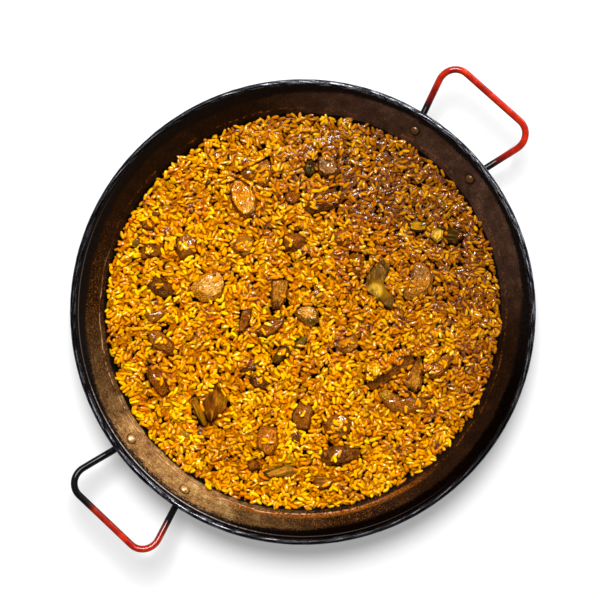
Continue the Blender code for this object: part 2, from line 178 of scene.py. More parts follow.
world = bpy.data.worlds.new("studio")
world.use_nodes = True
sky = world.node_tree.nodes["Background"].inputs
sky["Strength"].default_value = SKY_STRENGTH
sky["Color"].default_value = (1.0, 1.0, 1.0, 1.0)
bpy.context.scene.world = world
bpy.context.scene.view_settings.view_transform = "Standard"

# %% [markdown]
# Shader maths reads best as plain sums. A small class wraps a socket, and each operator adds its
# Math node, so that 1 - mask means what it says. One method adds every other kind of node.

# %% Shader values and finishes


def plug(tree, socket, value):
    if isinstance(value, Value):
        tree.links.new(value.socket, socket)
    else:
        socket.default_value = value


class Value:
    """A shader socket that can be used in sums."""

    def __init__(self, tree, socket):
        self.tree = tree
        self.socket = socket

    def math(self, operation, *others):
        node = self.tree.nodes.new("ShaderNodeMath")
        node.operation = operation
        for socket, value in zip(node.inputs, (self, *others)):
            plug(self.tree, socket, value)
        return Value(self.tree, node.outputs[0])

    def __add__(self, other):
        return self.math("ADD", other)

    def __mul__(self, other):
        return self.math("MULTIPLY", other)

    def __sub__(self, other):
        return self.math("SUBTRACT", other)

    def __rsub__(self, other):
        return self.math("MULTIPLY", -1.0).math("ADD", other)

    __radd__ = __add__
    __rmul__ = __mul__


def paint(red, green, blue):
    """A colour as seen on a screen, from 0 to 255, as the linear colour that a shader takes."""
    linear = []
    for channel in (red, green, blue):
        share = channel / 255
        linear.append(share / 12.92 if share <= 0.04045 else ((share + 0.055) / 1.055) ** 2.4)
    return (*linear, 1.0)


class Finish:
    """A material with a Principled shader, and the node kinds that this scene uses."""

    def __init__(self, name, **fixed):
        self.material = bpy.data.materials.new(name)
        self.material.use_nodes = True
        self.tree = self.material.node_tree
        self.shader = self.tree.nodes["Principled BSDF"]
        for socket, value in fixed.items():
            self.shader.inputs[socket.replace("_", " ")].default_value = value
        self.place = self.node("ShaderNodeTexCoord", output="Object")

    def node(self, kind, settings=None, inputs=None, output=0):
        node = self.tree.nodes.new(kind)
        for name, value in (settings or {}).items():
            if name == "stops":
                ramp = node.color_ramp
                ramp.elements[0].position, ramp.elements[0].color = value[0]
                ramp.elements[1].position, ramp.elements[1].color = value[-1]
                for place, colour in value[1:-1]:
                    ramp.elements.new(place).color = colour
            else:
                setattr(node, name, value)
        for name, value in (inputs or {}).items():
            plug(self.tree, node.inputs[name], value)
        return Value(self.tree, node.outputs[output])

    def attribute(self, name, output="Fac"):
        return self.node("ShaderNodeAttribute", {"attribute_name": name}, output=output)

    def vector(self, operation, *vectors, output=0):
        return self.node("ShaderNodeVectorMath", {"operation": operation}, dict(enumerate(vectors)), output)

    def along(self, vector, direction):
        """How far a vector reaches in a fixed direction."""
        return self.vector("DOT_PRODUCT", vector, tuple(direction), output="Value")

    def stretch(self, vector, scale):
        return self.node("ShaderNodeMapping", inputs={"Vector": vector, "Scale": scale})

    def noise(self, size, detail=2.0, vector=None, rough=0.5):
        """Cloudy noise whose blobs are about size metres across."""
        inputs = {"Vector": vector or self.place, "Scale": 1 / size, "Detail": detail, "Roughness": rough}
        return self.node("ShaderNodeTexNoise", inputs=inputs, output="Fac")

    def step(self, value, low, high):
        """Rise smoothly from 0 at low to 1 at high."""
        inputs = {0: value, 1: low, 2: high, 3: 0.0, 4: 1.0}
        return self.node("ShaderNodeMapRange", {"interpolation_type": "SMOOTHSTEP"}, inputs)

    def mix(self, share, first, second, blend="MIX"):
        settings = {"data_type": "RGBA", "blend_type": blend}
        return self.node("ShaderNodeMix", settings, {0: share, 6: first, 7: second}, output=2)

    def ramp(self, value, stops):
        """Run through colours. A stop is a place from 0 to 1 and a colour as seen on a screen."""
        stops = [(place, paint(*colour)) for place, *colour in stops]
        return self.node("ShaderNodeValToRGB", {"stops": stops}, {0: value}, output="Color")

    def bump(self, height, distance, strength=1.0, under=None):
        inputs = {"Height": height, "Distance": distance, "Strength": strength}
        if under:
            inputs["Normal"] = under
        return self.node("ShaderNodeBump", inputs=inputs)

    def set(self, socket, value):
        plug(self.tree, self.shader.inputs[socket], value)


# %% Floor
FLOOR_SIZE = 6.0
FLOOR_GREY = (0.48, 0.48, 0.48, 1.0)
FLOOR_GLOW = 0.30
floor_mesh = bpy.data.meshes.new("floor")
floor_bm = bmesh.new()
bmesh.ops.create_grid(floor_bm, x_segments=1, y_segments=1, size=FLOOR_SIZE / 2)
floor_bm.to_mesh(floor_mesh)
floor_bm.free()
floor = linked("floor", floor_mesh)
floor_finish = Finish("pale_floor", Roughness=1.0, Base_Color=FLOOR_GREY, Specular_IOR_Level=0.0,
                      Emission_Color=(1.0, 1.0, 1.0, 1.0), Emission_Strength=FLOOR_GLOW)
floor_mesh.materials.append(floor_finish.material)

# %% [markdown]
# Most pieces are rings of points joined by bands of faces, from a turned outline or a swept section,
# and they all end the same way: as a smooth mesh at the origin that stands for its construction node.

# %% Helpers for pieces


def mesh_from(name, bm):
    """A smooth mesh with its faces outward. The bmesh is used up."""
    mesh = bpy.data.meshes.new(name)
    bmesh.ops.recalc_face_normals(bm, faces=bm.faces)
    bm.to_mesh(mesh)
    bm.free()
    mesh.shade_smooth()
    return mesh


def bridge(bm, rings):
    """Join each ring of points to the next with a band of faces."""
    for ring, following in zip(rings, rings[1:]):
        for step in range(len(ring)):
            bm.faces.new((ring[step - 1], ring[step], following[step], following[step - 1]))


def fan(bm, ring, middle):
    """Close a ring of points with triangles to a point in its middle."""
    for step in range(len(ring)):
        bm.faces.new((ring[step - 1], ring[step], middle))


def store(mesh, name, kind, values):
    """Keep a value with each point of a mesh, for a finish or a node tree to read."""
    layer = mesh.attributes.new(name, kind, "POINT")
    field = {"FLOAT": "value", "FLOAT_VECTOR": "vector", "FLOAT_COLOR": "color"}[kind]
    layer.data.foreach_set(field, np.asarray(values, np.float32).ravel())


def dress(name, mesh, replaced=()):
    """Make a piece of the object. Its place is in its mesh, and it rides on the pan."""
    piece = linked(name, mesh)
    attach(piece, "root")
    if replaced:
        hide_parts(*replaced)
    return piece


def add_piece(name, bm, material, replaced=()):
    mesh = mesh_from(name, bm)
    mesh.materials.append(material)
    return dress(name, mesh, replaced)


def triangles(mesh):
    mesh.calc_loop_triangles()
    return len(mesh.loop_triangles)


# %% [markdown]
# The pan is turned round its axis like the real one, which is spun from sheet. The outline is worked
# out from the sheet, the corner and the bead, with a row of points every millimetre or so up the
# wall, because the wall carries low dents and a line of dried sauce that are moved points and not
# only bump. The bead is lightly hammered.

# %% The pan's outline
PAN_STEPS = 360
ROW = 0.0014
CORNER_STEPS = 6
BEAD_STEPS = 18
BEAD_TURN = math.radians(300)


def corner_arc(radius):
    centre = BASE_RADIUS - CORNER_RADIUS * math.tan(WALL_ANGLE / 2)
    turns = [-math.pi / 2 + WALL_ANGLE * step / CORNER_STEPS for step in range(CORNER_STEPS + 1)]
    return [(centre + radius * math.cos(turn), CORNER_RADIUS + radius * math.sin(turn)) for turn in turns]


def bead_arc():
    centre = RIM_RADIUS - BEAD_RADIUS
    start = math.pi / 2 + WALL_ANGLE
    turns = [start - BEAD_TURN * step / BEAD_STEPS for step in range(BEAD_STEPS + 1)]
    arc = []
    for turn in turns:
        arc.append((centre + BEAD_RADIUS * math.cos(turn), RIM_HEIGHT + BEAD_RADIUS * math.sin(turn)))
    return arc


def fill_rows(points, spacing):
    """Add points along an outline so that no stretch is longer than the spacing."""
    filled = [points[0]]
    for first, second in zip(points, points[1:]):
        pieces = max(1, round(math.dist(first, second) / spacing))
        for piece in range(1, pieces + 1):
            share = piece / pieces
            radius = first[0] + (second[0] - first[0]) * share
            filled.append((radius, first[1] + (second[1] - first[1]) * share))
    return filled


bead = bead_arc()
inner = fill_rows(corner_arc(CORNER_RADIUS - SHEET) + bead[:1], ROW)
outer = fill_rows(bead[-1:] + corner_arc(CORNER_RADIUS)[::-1], ROW * 1.5)
floor_rings = [0.03, 0.07, 0.11, 0.15, 0.17]
pan_outline = [(radius, SHEET) for radius in floor_rings] + inner + bead[1:-1] + outer
pan_outline += [(radius, 0.0) for radius in reversed(floor_rings)]
print("outline points:", len(pan_outline))

# %% Turn the pan
SAUCE_LINE = 0.0222
SAUCE_RIDGE = 0.00035
SAUCE_WIDTH = 0.0011
DENT_DEPTH = 0.00022
DENT_SIZE = 0.045
HAMMER_DEPTH = 0.00016
HAMMER_SIZE = 0.0028


def pan_relief(radius, height, angle, facing):
    """How far a point of the pan stands out of the perfect shape, along its surface normal."""
    around = Vector((math.cos(angle), math.sin(angle), 0.0)) * radius
    place = around + Vector((0.0, 0.0, height))
    if facing == "bead":
        broad = noise.noise(place / 0.009) / 2
        return HAMMER_DEPTH * (noise.noise(place / HAMMER_SIZE) + broad)
    dents = DENT_DEPTH * noise.noise(place / DENT_SIZE)
    if facing == "inner":
        wander = 0.0020 * noise.noise(around / 0.018) + 0.0008 * noise.noise(around / 0.006)
        off_line = (height - SAUCE_LINE - wander) / SAUCE_WIDTH
        ridge = SAUCE_RIDGE * math.exp(-off_line * off_line)
        return ridge * max(0.0, 0.4 + noise.noise(around / 0.03)) + dents
    return -dents


def turn_pan():
    bm = bmesh.new()
    rings = []
    for index, (radius, height) in enumerate(pan_outline):
        if index < len(floor_rings) + len(inner):
            facing = "inner"
        elif index < len(floor_rings) + len(inner) + len(bead) - 2:
            facing = "bead"
        else:
            facing = "outer"
        before = pan_outline[max(index - 1, 0)]
        after = pan_outline[min(index + 1, len(pan_outline) - 1)]
        along = Vector((after[0] - before[0], after[1] - before[1])).normalized()
        out = Vector((-along.y, along.x))
        ring = []
        for step in range(PAN_STEPS):
            angle = 2 * math.pi * step / PAN_STEPS
            lift = 0.0 if height < 1e-6 else pan_relief(radius, height, angle, facing)
            far = radius + out.x * lift
            ring.append(bm.verts.new((far * math.cos(angle), far * math.sin(angle), height + out.y * lift)))
        rings.append(ring)
    bridge(bm, rings)
    for ring, height in ((rings[0], SHEET), (rings[-1], 0.0)):
        fan(bm, ring, bm.verts.new((0.0, 0.0, height)))
    return bm


pan_bm = turn_pan()

# %% [markdown]
# Years of cooking have browned and blackened the steel, and each rivet stands in a dark ring, partly
# grime and partly painted shade, so the finish has to know where they sit. A handle's frame is its
# axis, turned a little, and a rivet's frame stands square to the wall.

# %% Where the handles and the rivets sit
RIVET_HEIGHT = 0.0315
RIVET_SPREAD = math.radians(9.9)
HANDLE_LEAN = math.radians(1.0)


def handle_frame(side):
    """Matrix of a handle: local X runs outward along its axis. Side is 1 at +X and -1 at -X."""
    angle = HANDLE_LEAN if side > 0 else math.pi - HANDLE_LEAN
    return Matrix.Rotation(angle, 4, "Z")


def rivet_frame(side, end):
    """Matrix of a rivet: local Z points into the pan, square to the wall, from its outer face."""
    turn = handle_frame(side) @ Matrix.Rotation(end * RIVET_SPREAD, 4, "Z")
    place = Matrix.Translation((outer_radius(RIVET_HEIGHT), 0.0, RIVET_HEIGHT))
    return turn @ place @ Matrix.Rotation(-WALL_ANGLE, 4, "Y")


RIVETS = {(side, end): rivet_frame(side, end) for side in (1, -1) for end in (-1, 1)}
print("rivets at", [[round(side, 3) for side in matrix.translation] for matrix in RIVETS.values()])

# %% [markdown]
# Every stain, and every painted sheen or shade, is a mask made from a few maps: the height and the
# radius of a point, how far it faces the golden, sheen side and the crusted, shaded side of the pan,
# and noise of several sizes. Noise that is drawn out along the rim gives the brushed streaks.

# %% Maps that the stains are made from
GOLDEN_SHEEN_SIDE = UP * -0.743 - RIGHT * 0.669
CRUSTED_AND_SHADED_SIDE = UP * -0.996 + RIGHT * 0.087
AROUND_IN_STREAKS = 0.022
steel = Finish("seasoned_steel", Coat_Roughness=0.25)
height = steel.node("ShaderNodeSeparateXYZ", inputs={0: steel.place}, output="Z")
flat = steel.vector("MULTIPLY", steel.place, (1, 1, 0))
around = steel.vector("NORMALIZE", flat)
toward = steel.along(around, GOLDEN_SHEEN_SIDE)
downward = steel.along(around, CRUSTED_AND_SHADED_SIDE)
radius = steel.vector("LENGTH", flat, output="Value")
blotch = steel.noise(0.018, 4.0, rough=0.65)
fine = steel.noise(0.0022, 3.0, rough=0.7)
grit = steel.noise(0.0009, 2.0)
smear = steel.noise(0.03, 3.0, vector=steel.stretch(steel.place, (1.0, 1.0, 4.0)))
streak = steel.noise(0.009, 4.0, vector=steel.stretch(steel.place, (1.0, 1.0, 0.2)), rough=0.7)
rise = steel.node("ShaderNodeCombineXYZ", inputs={0: radius, 2: height})
slowly = (AROUND_IN_STREAKS, AROUND_IN_STREAKS, 0.0)
turned = steel.noise(0.0012, 3.0, vector=steel.vector("MULTIPLY_ADD", around, slowly, rise), rough=0.6)

# %% [markdown]
# The wall itself is brown. In one sector it is golden, partly oiled patina and partly a painted
# sheen where the oiled steel catches the light, and it is paler in the sector opposite. Fine speckles
# and pits lie over both; in the golden sector the bright speckles are partly painted glints.

# %% Colour of the wall
# Painted sheen: the golden colour, up to near white, is partly the light's reflection painted in.
patchy = toward + (blotch - 0.5) * 0.10
golden_sheen = steel.step(patchy, 0.62, 0.98) * 0.20 + steel.step(patchy, 0.90, 0.99) * 0.80
paler_opposite = steel.step(toward * -1.0, 0.55, 0.95)
brown = steel.ramp(blotch * 0.6 + fine * 0.4, [(0.30, 8, 3, 0), (0.52, 27, 12, 2), (0.70, 60, 32, 8)])
brown = steel.mix(paler_opposite * 0.8, brown, steel.ramp(blotch * 0.5 + fine * 0.5, [
    (0.32, 34, 22, 15), (0.52, 82, 58, 46), (0.70, 124, 98, 82)]))
tan = steel.ramp(fine * 0.30 + blotch * 0.30 + turned * 0.25 + streak * 0.15, [
    (0.38, 70, 40, 18), (0.47, 150, 108, 58), (0.54, 200, 158, 86),
    (0.61, 255, 234, 172)])
wall = steel.mix(golden_sheen, brown, tan)
wall = steel.mix(steel.step(grit + fine * 0.4, 0.78, 0.86) * 0.6, wall, paint(70, 34, 22))
# Painted glints: bright speckles on the golden side of the wall.
speckles = steel.step(grit, 0.60, 0.68) * steel.step(toward, 0.1, 0.7)
wall = steel.mix(speckles * 0.8, wall, steel.mix(golden_sheen, paint(206, 128, 40), paint(232, 196, 158)))
pits = steel.step(grit, 0.42, 0.36) * golden_sheen
wall = steel.mix(pits * 0.7, wall, paint(84, 40, 22))

# %% [markdown]
# A black band runs below the bead, with a ragged lower edge that hangs lower in some sectors. In the
# golden sector its edge is rusty and flecked. On the side at the bottom of the picture it is painted
# blackest, as painted shade.

# %% The dark band below the bead
DARK_BAND = 0.0366
edge = height + (fine - 0.5) * (golden_sheen * 0.010 + 0.009) + (grit - 0.5) * 0.006
edge = edge + (smear - 0.5) * 0.006 + golden_sheen * 0.0004
edge = edge - steel.step(toward, 0.78, 0.98) * 0.0036 - paler_opposite * 0.0056
band = steel.step(edge, DARK_BAND - 0.0004, DARK_BAND + 0.0004)
black = steel.ramp(fine, [(0.35, 1, 1, 1), (0.60, 12, 8, 8), (0.75, 38, 30, 30)])
# Painted shade: the band and the bead are painted darker on the side at the bottom of the picture.
shaded_lower_side = steel.step(downward, 0.0, 0.5) * (1 - golden_sheen)
colour = steel.mix(band, wall, steel.mix(shaded_lower_side * 0.6, black, paint(8, 2, 1)))
rust = steel.step(edge, DARK_BAND - 0.0016, DARK_BAND - 0.0004) * (1 - band) * golden_sheen
colour = steel.mix(rust * 0.5, colour, paint(212, 138, 72))
flecks = steel.step(edge, DARK_BAND - 0.0040, DARK_BAND - 0.0010) * steel.step(turned, 0.50, 0.44)
colour = steel.mix(flecks * golden_sheen * 0.8, colour, paint(20, 12, 8))
grains = band * golden_sheen * steel.step(grit, 0.54, 0.62) * steel.step(edge, DARK_BAND + 0.0070, DARK_BAND)
colour = steel.mix(grains * 0.7, colour, paint(132, 122, 118))

# %% [markdown]
# Near the rice the wall is painted black, partly soot and partly painted shade in the gap. Sauce has
# dried on it in a thin orange line, in a crust at the bottom of the picture and in a ridge that carries
# a painted highlight, and each rivet stands in a dark ring of grime and painted shade.

# %% Soot, dried sauce, grime, and painted shade and highlight
SOOT_AND_SHADE_TOP = 0.0182
CRUST_LOW = 0.0196
CRUST_HIGH = 0.0268
RIDGE_HEIGHT = 0.0216
GRIME_AND_SHADE_INNER = 0.0052
GRIME_AND_SHADE_OUTER = 0.0066
# Painted shade: the wall just above the rice is painted black, soot and the shade of the gap.
soot_and_shade = steel.step(height + (blotch - 0.5) * 0.004, SOOT_AND_SHADE_TOP, SOOT_AND_SHADE_TOP - 0.0016)
colour = steel.mix(soot_and_shade, colour, paint(8, 4, 2))
line = (height - SAUCE_LINE + (smear - 0.5) * 0.006).math("ABSOLUTE")
thin = (1 - steel.step(line, 0.0003, 0.0013)) * steel.step(blotch + fine * 0.5, 0.72, 0.90)
rough_height = height + (fine - 0.5) * 0.003
thick = steel.step(rough_height, CRUST_HIGH, CRUST_HIGH - 0.0030)
thick = thick * steel.step(rough_height, CRUST_LOW, CRUST_LOW + 0.0016)
thick = thick * steel.step(downward, 0.78, 0.95)
crust = (thin * (1 - steel.step(toward, 0.0, 0.5)) * 0.6).math("MAXIMUM", thick * 0.75)
colour = steel.mix(crust, colour, steel.ramp(fine, [
    (0.35, 56, 24, 0), (0.52, 122, 62, 2), (0.68, 190, 110, 14)]))
# Painted highlight: the dried-sauce ridge is painted pale, up to near white, in the golden sector.
ridge = (height - RIDGE_HEIGHT + (smear - 0.5) * 0.005 + (fine - 0.5) * 0.002).math("ABSOLUTE")
ridge = (1 - steel.step(ridge, 0.0002, 0.0009)) * steel.step(toward, 0.30, 0.70)
ridge = ridge * steel.step(blotch * 0.5 + fine * 0.5, 0.42, 0.52)
colour = steel.mix(ridge * 0.65, colour, steel.ramp(turned, [
    (0.40, 120, 44, 26), (0.50, 206, 138, 96), (0.60, 255, 214, 170)]))
# Painted shade: a dark ring round each rivet, partly grime and partly the shade at the dome's foot.
grime_and_shade = None
for frame_of_rivet in RIVETS.values():
    centre = frame_of_rivet @ Vector((0.0, 0.0, SHEET))
    reach = steel.vector("DISTANCE", steel.place, tuple(centre), output="Value")
    ring = 1 - steel.step(reach + (fine - 0.5) * 0.0012, GRIME_AND_SHADE_INNER, GRIME_AND_SHADE_OUTER)
    grime_and_shade = ring if grime_and_shade is None else grime_and_shade.math("MAXIMUM", ring)
colour = steel.mix(grime_and_shade * 0.9, colour, paint(16, 9, 5))

# %% [markdown]
# The paint of the bead is worn to bare metal in spots, and these are painted bright as a painted sheen
# most of all in the golden sector and in the one opposite, and its inner edge has a painted highlight
# line. The outer wall and the underside, which the photograph doesn't show, are plain and scorched.

# %% The bead and the outside
BEAD_LOW = RIM_HEIGHT - 0.0035
BEAD_INNER = RIM_RADIUS - 0.0062
HIGHLIGHT_LINE_INNER = RIM_RADIUS - 0.0086
HIGHLIGHT_LINE_OUTER = RIM_RADIUS - 0.0076
bead_here = steel.step(height, BEAD_LOW, BEAD_LOW + 0.0013)
bead_here = bead_here * steel.step(radius, BEAD_INNER, BEAD_INNER + 0.0010)
spots = turned * 0.75 + grit * 0.25
worn = steel.ramp(spots, [(0.42, 4, 4, 6), (0.51, 36, 35, 39), (0.61, 160, 162, 172)])
dull = steel.ramp(spots, [(0.42, 2, 2, 2), (0.52, 13, 12, 14), (0.62, 88, 86, 92)])
# Painted sheen: the bright worn metal is chosen where the light would glint on the bead.
painted_sheen = steel.step(toward, 0.84, 0.99) * 0.60 + steel.step(toward * -1.0, 0.35, 0.90) * 0.75
dull = steel.mix(shaded_lower_side * 0.3, dull, paint(6, 3, 3))
colour = steel.mix(bead_here, colour, steel.mix(painted_sheen, dull, worn))
# Painted highlight: a bright line along the bead's inner edge.
inner_edge = steel.step(radius, HIGHLIGHT_LINE_INNER, HIGHLIGHT_LINE_INNER + 0.0003)
inner_edge = inner_edge * steel.step(radius, HIGHLIGHT_LINE_OUTER, HIGHLIGHT_LINE_OUTER - 0.0003)
bright_line = steel.step(toward + (fine - 0.5) * 0.6, 0.84, 1.04) * 0.65
painted_highlight_line = inner_edge * (bright_line + steel.step(toward, 0.0, 0.7) * 0.10)
colour = steel.mix(painted_highlight_line, colour, paint(226, 218, 210))
leaning = height * (1 / math.tan(WALL_ANGLE)) - radius
outside = steel.step(leaning, -BASE_RADIUS - 0.0004, -BASE_RADIUS + 0.0004)
scorched = steel.ramp(blotch * 0.7 + fine * 0.3, [
    (0.32, 14, 12, 12), (0.52, 38, 30, 27), (0.70, 78, 58, 46)])
under = steel.step(height, 0.0009, 0.0004)
skin = (1 - bead_here) * (1 - outside).math("MAXIMUM", under)
colour = steel.mix(skin, colour, scorched)

# %% Shine of the pan
steel.set("Base Color", colour)
metal = golden_sheen * 0.35 + 0.40 + bead_here * 0.3 + band * shaded_lower_side * 0.6 * (1 - bead_here)
metal = metal.math("MINIMUM", 1.0)
steel.set("Metallic", metal * (1 - soot_and_shade) * (1 - crust * 0.8))
steel.set("Roughness", 0.36 + fine * 0.22 + band * 0.10 - bead_here * 0.22)
steel.set("Specular IOR Level", 0.16)
steel.set("Coat Weight", (1 - band) * golden_sheen * 0.25)
relief = fine * 0.6 + grit * 0.4
steel.set("Normal", steel.bump(relief, 0.00035, 0.55))

pan = add_piece("pan_body", pan_bm, steel.material, ["pan"])
print("pan triangles:", triangles(pan.data), "shader nodes:", len(steel.tree.nodes))

# %% [markdown]
# Each handle is one bent rod whose ends are hammered flat and riveted to the wall. A tube with one
# round section can't show the flattened ends, so a ring of points is carried along the rod's line
# and squeezed into a spade where the line lies on the wall. Two numbers are stored on the points,
# because only the sweep knows them: how far a point is from the burnt end of the paint, and how high
# it lies on the round of the rod, since the rod's underside is painted darker as painted shade.

# %% The handle's line
ROD_RADIUS = 0.0035
HANDLE_REACH = 0.2856
HANDLE_HALF_WIDTH = 0.058
HANDLE_BEND = 0.017
HANDLE_TOP = 0.050
HANDLE_LOW = 0.0378
HANDLE_RISE_START = 0.236
TAB_HALF_WIDTH = 0.0065
TAB_HALF_THICKNESS = 0.0015
TAB_OFFSET = 0.0019
TAB_LOW = -0.0068
TAB_HIGH = 0.0040
# How far up the wall, and how far out of it, the rod leaves its tab.
NECK = (0.0078, 0.0033)
FOOT_INSET = 0.002
LEG_FROM_FOOT = 0.0115
ROD_SIDES = 20
TAB_STEPS = 5
SPLINE_STEPS = 4
LEG_STEPS = 12
BEND_STEPS = 14
GRIP_STEPS = 6


def rod_height(reach):
    share = eased((reach - HANDLE_RISE_START) / (HANDLE_REACH - HANDLE_RISE_START))
    return HANDLE_LOW + (HANDLE_TOP - HANDLE_LOW) * share


def spline(points, steps):
    """A smooth line through points, as a Catmull-Rom curve with a number of steps for each stretch."""
    ends = [points[0] * 2 - points[1]] + points + [points[-1] * 2 - points[-2]]
    line = []
    for index in range(1, len(ends) - 2):
        before, start, end, after = ends[index - 1:index + 3]
        for step in range(steps):
            t = step / steps
            line.append(0.5 * (2 * start + (end - before) * t
                               + (2 * before - 5 * start + 4 * end - after) * t * t
                               + (3 * start - before - 3 * end + after) * t ** 3))
    return line + [points[-1]]


def half_handle():
    """One half of the rod's line, from the tip of its tab to the middle of the grip."""
    turn = Matrix.Rotation(RIVET_SPREAD, 4, "Z")

    def on_wall(rise, offset):
        reach = outer_radius(RIVET_HEIGHT) + rise * math.cos(WALL_ANGLE) + offset * math.sin(WALL_ANGLE)
        height = RIVET_HEIGHT + rise * math.sin(WALL_ANGLE) - offset * math.cos(WALL_ANGLE)
        return turn @ Vector((reach, 0.0, height))

    rises = [TAB_LOW + (TAB_HIGH - TAB_LOW) * step / TAB_STEPS for step in range(TAB_STEPS + 1)]
    tab = [on_wall(rise, TAB_OFFSET) for rise in rises]
    foot = (turn @ Vector((outer_radius(HANDLE_LOW) - FOOT_INSET, 0.0, 0.0))).to_2d()
    corner = Vector((HANDLE_REACH, HANDLE_HALF_WIDTH))
    leg = (corner - foot).normalized()
    bend = math.pi / 2 + math.atan2(leg.y, leg.x)
    bend_start = corner - leg * HANDLE_BEND * math.tan(bend / 2)
    leg_start = foot + leg * LEG_FROM_FOOT
    passage = [on_wall(*NECK), leg_start.to_3d() + Vector((0, 0, HANDLE_LOW))]
    line = spline(tab + passage, SPLINE_STEPS)
    points = [leg_start.lerp(bend_start, step / LEG_STEPS) for step in range(1, LEG_STEPS + 1)]
    centre = bend_start + Vector((leg.y, -leg.x)) * HANDLE_BEND
    for step in range(1, BEND_STEPS + 1):
        points.append(centre + Matrix.Rotation(-bend * step / BEND_STEPS, 2) @ (bend_start - centre))
    line += [Vector((point.x, point.y, rod_height(point.x))) for point in points]
    end = line[-1]
    for step in range(1, GRIP_STEPS + 1):
        line.append(Vector((end.x, end.y * (1 - step / GRIP_STEPS), HANDLE_TOP)))
    return line


half_line = half_handle()
handle_line = half_line + [Vector((p.x, -p.y, p.z)) for p in reversed(half_line[:-1])]
print("handle line points:", len(handle_line))

# %% Sweep the handles
TIP_POINT = 8
NECK_POINT = 14
ROUND_POINT = 25


def section(index):
    """Half width and half thickness of the rod at a point of its line."""
    index = min(index, len(handle_line) - 1 - index)
    if index >= ROUND_POINT:
        return ROD_RADIUS, ROD_RADIUS
    if index <= TIP_POINT:
        share = 1 - index / TIP_POINT
        return TAB_HALF_WIDTH * max(math.sqrt(1 - share * share), 0.05), TAB_HALF_THICKNESS
    share = eased((index - NECK_POINT) / (ROUND_POINT - NECK_POINT))
    width = TAB_HALF_WIDTH + (ROD_RADIUS - TAB_HALF_WIDTH) * share
    return width, TAB_HALF_THICKNESS + (ROD_RADIUS - TAB_HALF_THICKNESS) * share


def sweep_handle(name, side, charred, node):
    """Carry the section along the line. Charred gives how far the black reaches from each end."""
    bm = bmesh.new()
    char_layer = bm.verts.layers.float.new("char")
    lift_layer = bm.verts.layers.float.new("lift")
    lengths = [0.0]
    for first, second in zip(handle_line, handle_line[1:]):
        lengths.append(lengths[-1] + (second - first).length)
    matrix = handle_frame(side)
    rings = []
    for index, point in enumerate(handle_line):
        before = handle_line[max(index - 1, 0)]
        after = handle_line[min(index + 1, len(handle_line) - 1)]
        along = (after - before).normalized()
        across = along.cross(Vector((0.0, 0.0, 1.0))).normalized()
        through = across.cross(along)
        half_width, half_thickness = section(index)
        from_start = lengths[index] - charred[0]
        from_end = lengths[-1] - lengths[index] - charred[1]
        ring = []
        for spoke in range(ROD_SIDES):
            angle = 2 * math.pi * spoke / ROD_SIDES
            offset = across * half_width * math.cos(angle) + through * half_thickness * math.sin(angle)
            lump = 1 + 0.02 * noise.noise(point / 0.012 + offset / 0.006)
            vert = bm.verts.new(matrix @ (point + offset * lump))
            vert[char_layer] = min(from_start, from_end)
            vert[lift_layer] = math.sin(angle)
            ring.append(vert)
        rings.append(ring)
    bridge(bm, rings)
    bm.faces.new(rings[0])
    bm.faces.new(rings[-1])
    return add_piece(name, bm, handle_paint, [node])


def handle_finish():
    """Red enamel, painted darker below as painted shade, and burnt black where the flame licks it."""
    enamel = Finish("worn_red_enamel", Coat_Roughness=0.04, Coat_IOR=1.5, Specular_IOR_Level=0.05)
    past_char = enamel.attribute("char")
    blotch = enamel.noise(0.012, 3.0)
    fine = enamel.noise(0.0018, 3.0, rough=0.7)
    ragged = past_char + (blotch - 0.5) * 0.012 + (fine - 0.5) * 0.004
    burnt = 1 - enamel.step(ragged, -0.005, 0.004)
    singed = 1 - enamel.step(ragged, -0.002, 0.026)
    red = enamel.ramp(blotch, [(0.35, 126, 12, 1), (0.55, 168, 28, 3), (0.75, 204, 52, 12)])
    # Painted shade: the underside of the rod is painted darker.
    painted_shade_below = 1 - enamel.step(enamel.attribute("lift"), 0.05, 0.85)
    red = enamel.mix(painted_shade_below * 0.85, red, paint(66, 4, 2))
    red = enamel.mix(singed * 0.85, red, paint(40, 5, 4))
    chips = enamel.step(enamel.noise(0.0035, 4.0, rough=0.75), 0.66, 0.70)
    red = enamel.mix(chips * 0.7, red, paint(92, 26, 16))
    char = enamel.ramp(fine, [(0.35, 2, 2, 2), (0.55, 9, 6, 8), (0.75, 40, 33, 34)])
    enamel.set("Base Color", enamel.mix(burnt, red, char))
    enamel.set("Roughness", 0.24 + burnt * 0.18 + chips * 0.2)
    enamel.set("Coat Weight", (1 - burnt) * 0.30 + 0.25)
    enamel.set("Metallic", burnt * 0.5)
    enamel.set("Normal", enamel.bump(fine * 0.6 + blotch * 0.4, 0.0004, 0.4))
    return enamel.material


handle_paint = handle_finish()
TAB_RUN = 0.022
FRONT_CHAR = (TAB_RUN + 0.014, TAB_RUN + 0.014)
BACK_CHAR = (TAB_RUN + 0.022, TAB_RUN + 0.086)
front = sweep_handle("front_handle", 1, FRONT_CHAR, "handle_front")
back = sweep_handle("back_handle", -1, BACK_CHAR, "handle_back")
print("triangles in the handles:", triangles(front.data) + triangles(back.data))

# %% [markdown]
# Geometry Nodes put copies of one object on many points. The same small tree lays the rivets and,
# further on, every grain of rice. Each point brings its turn and its size as attributes, the tree
# adds a little unevenness from a fixed seed, and it ends in real faces, because a list of instances
# is lost when the model is exported.

# %% The tree that lays copies


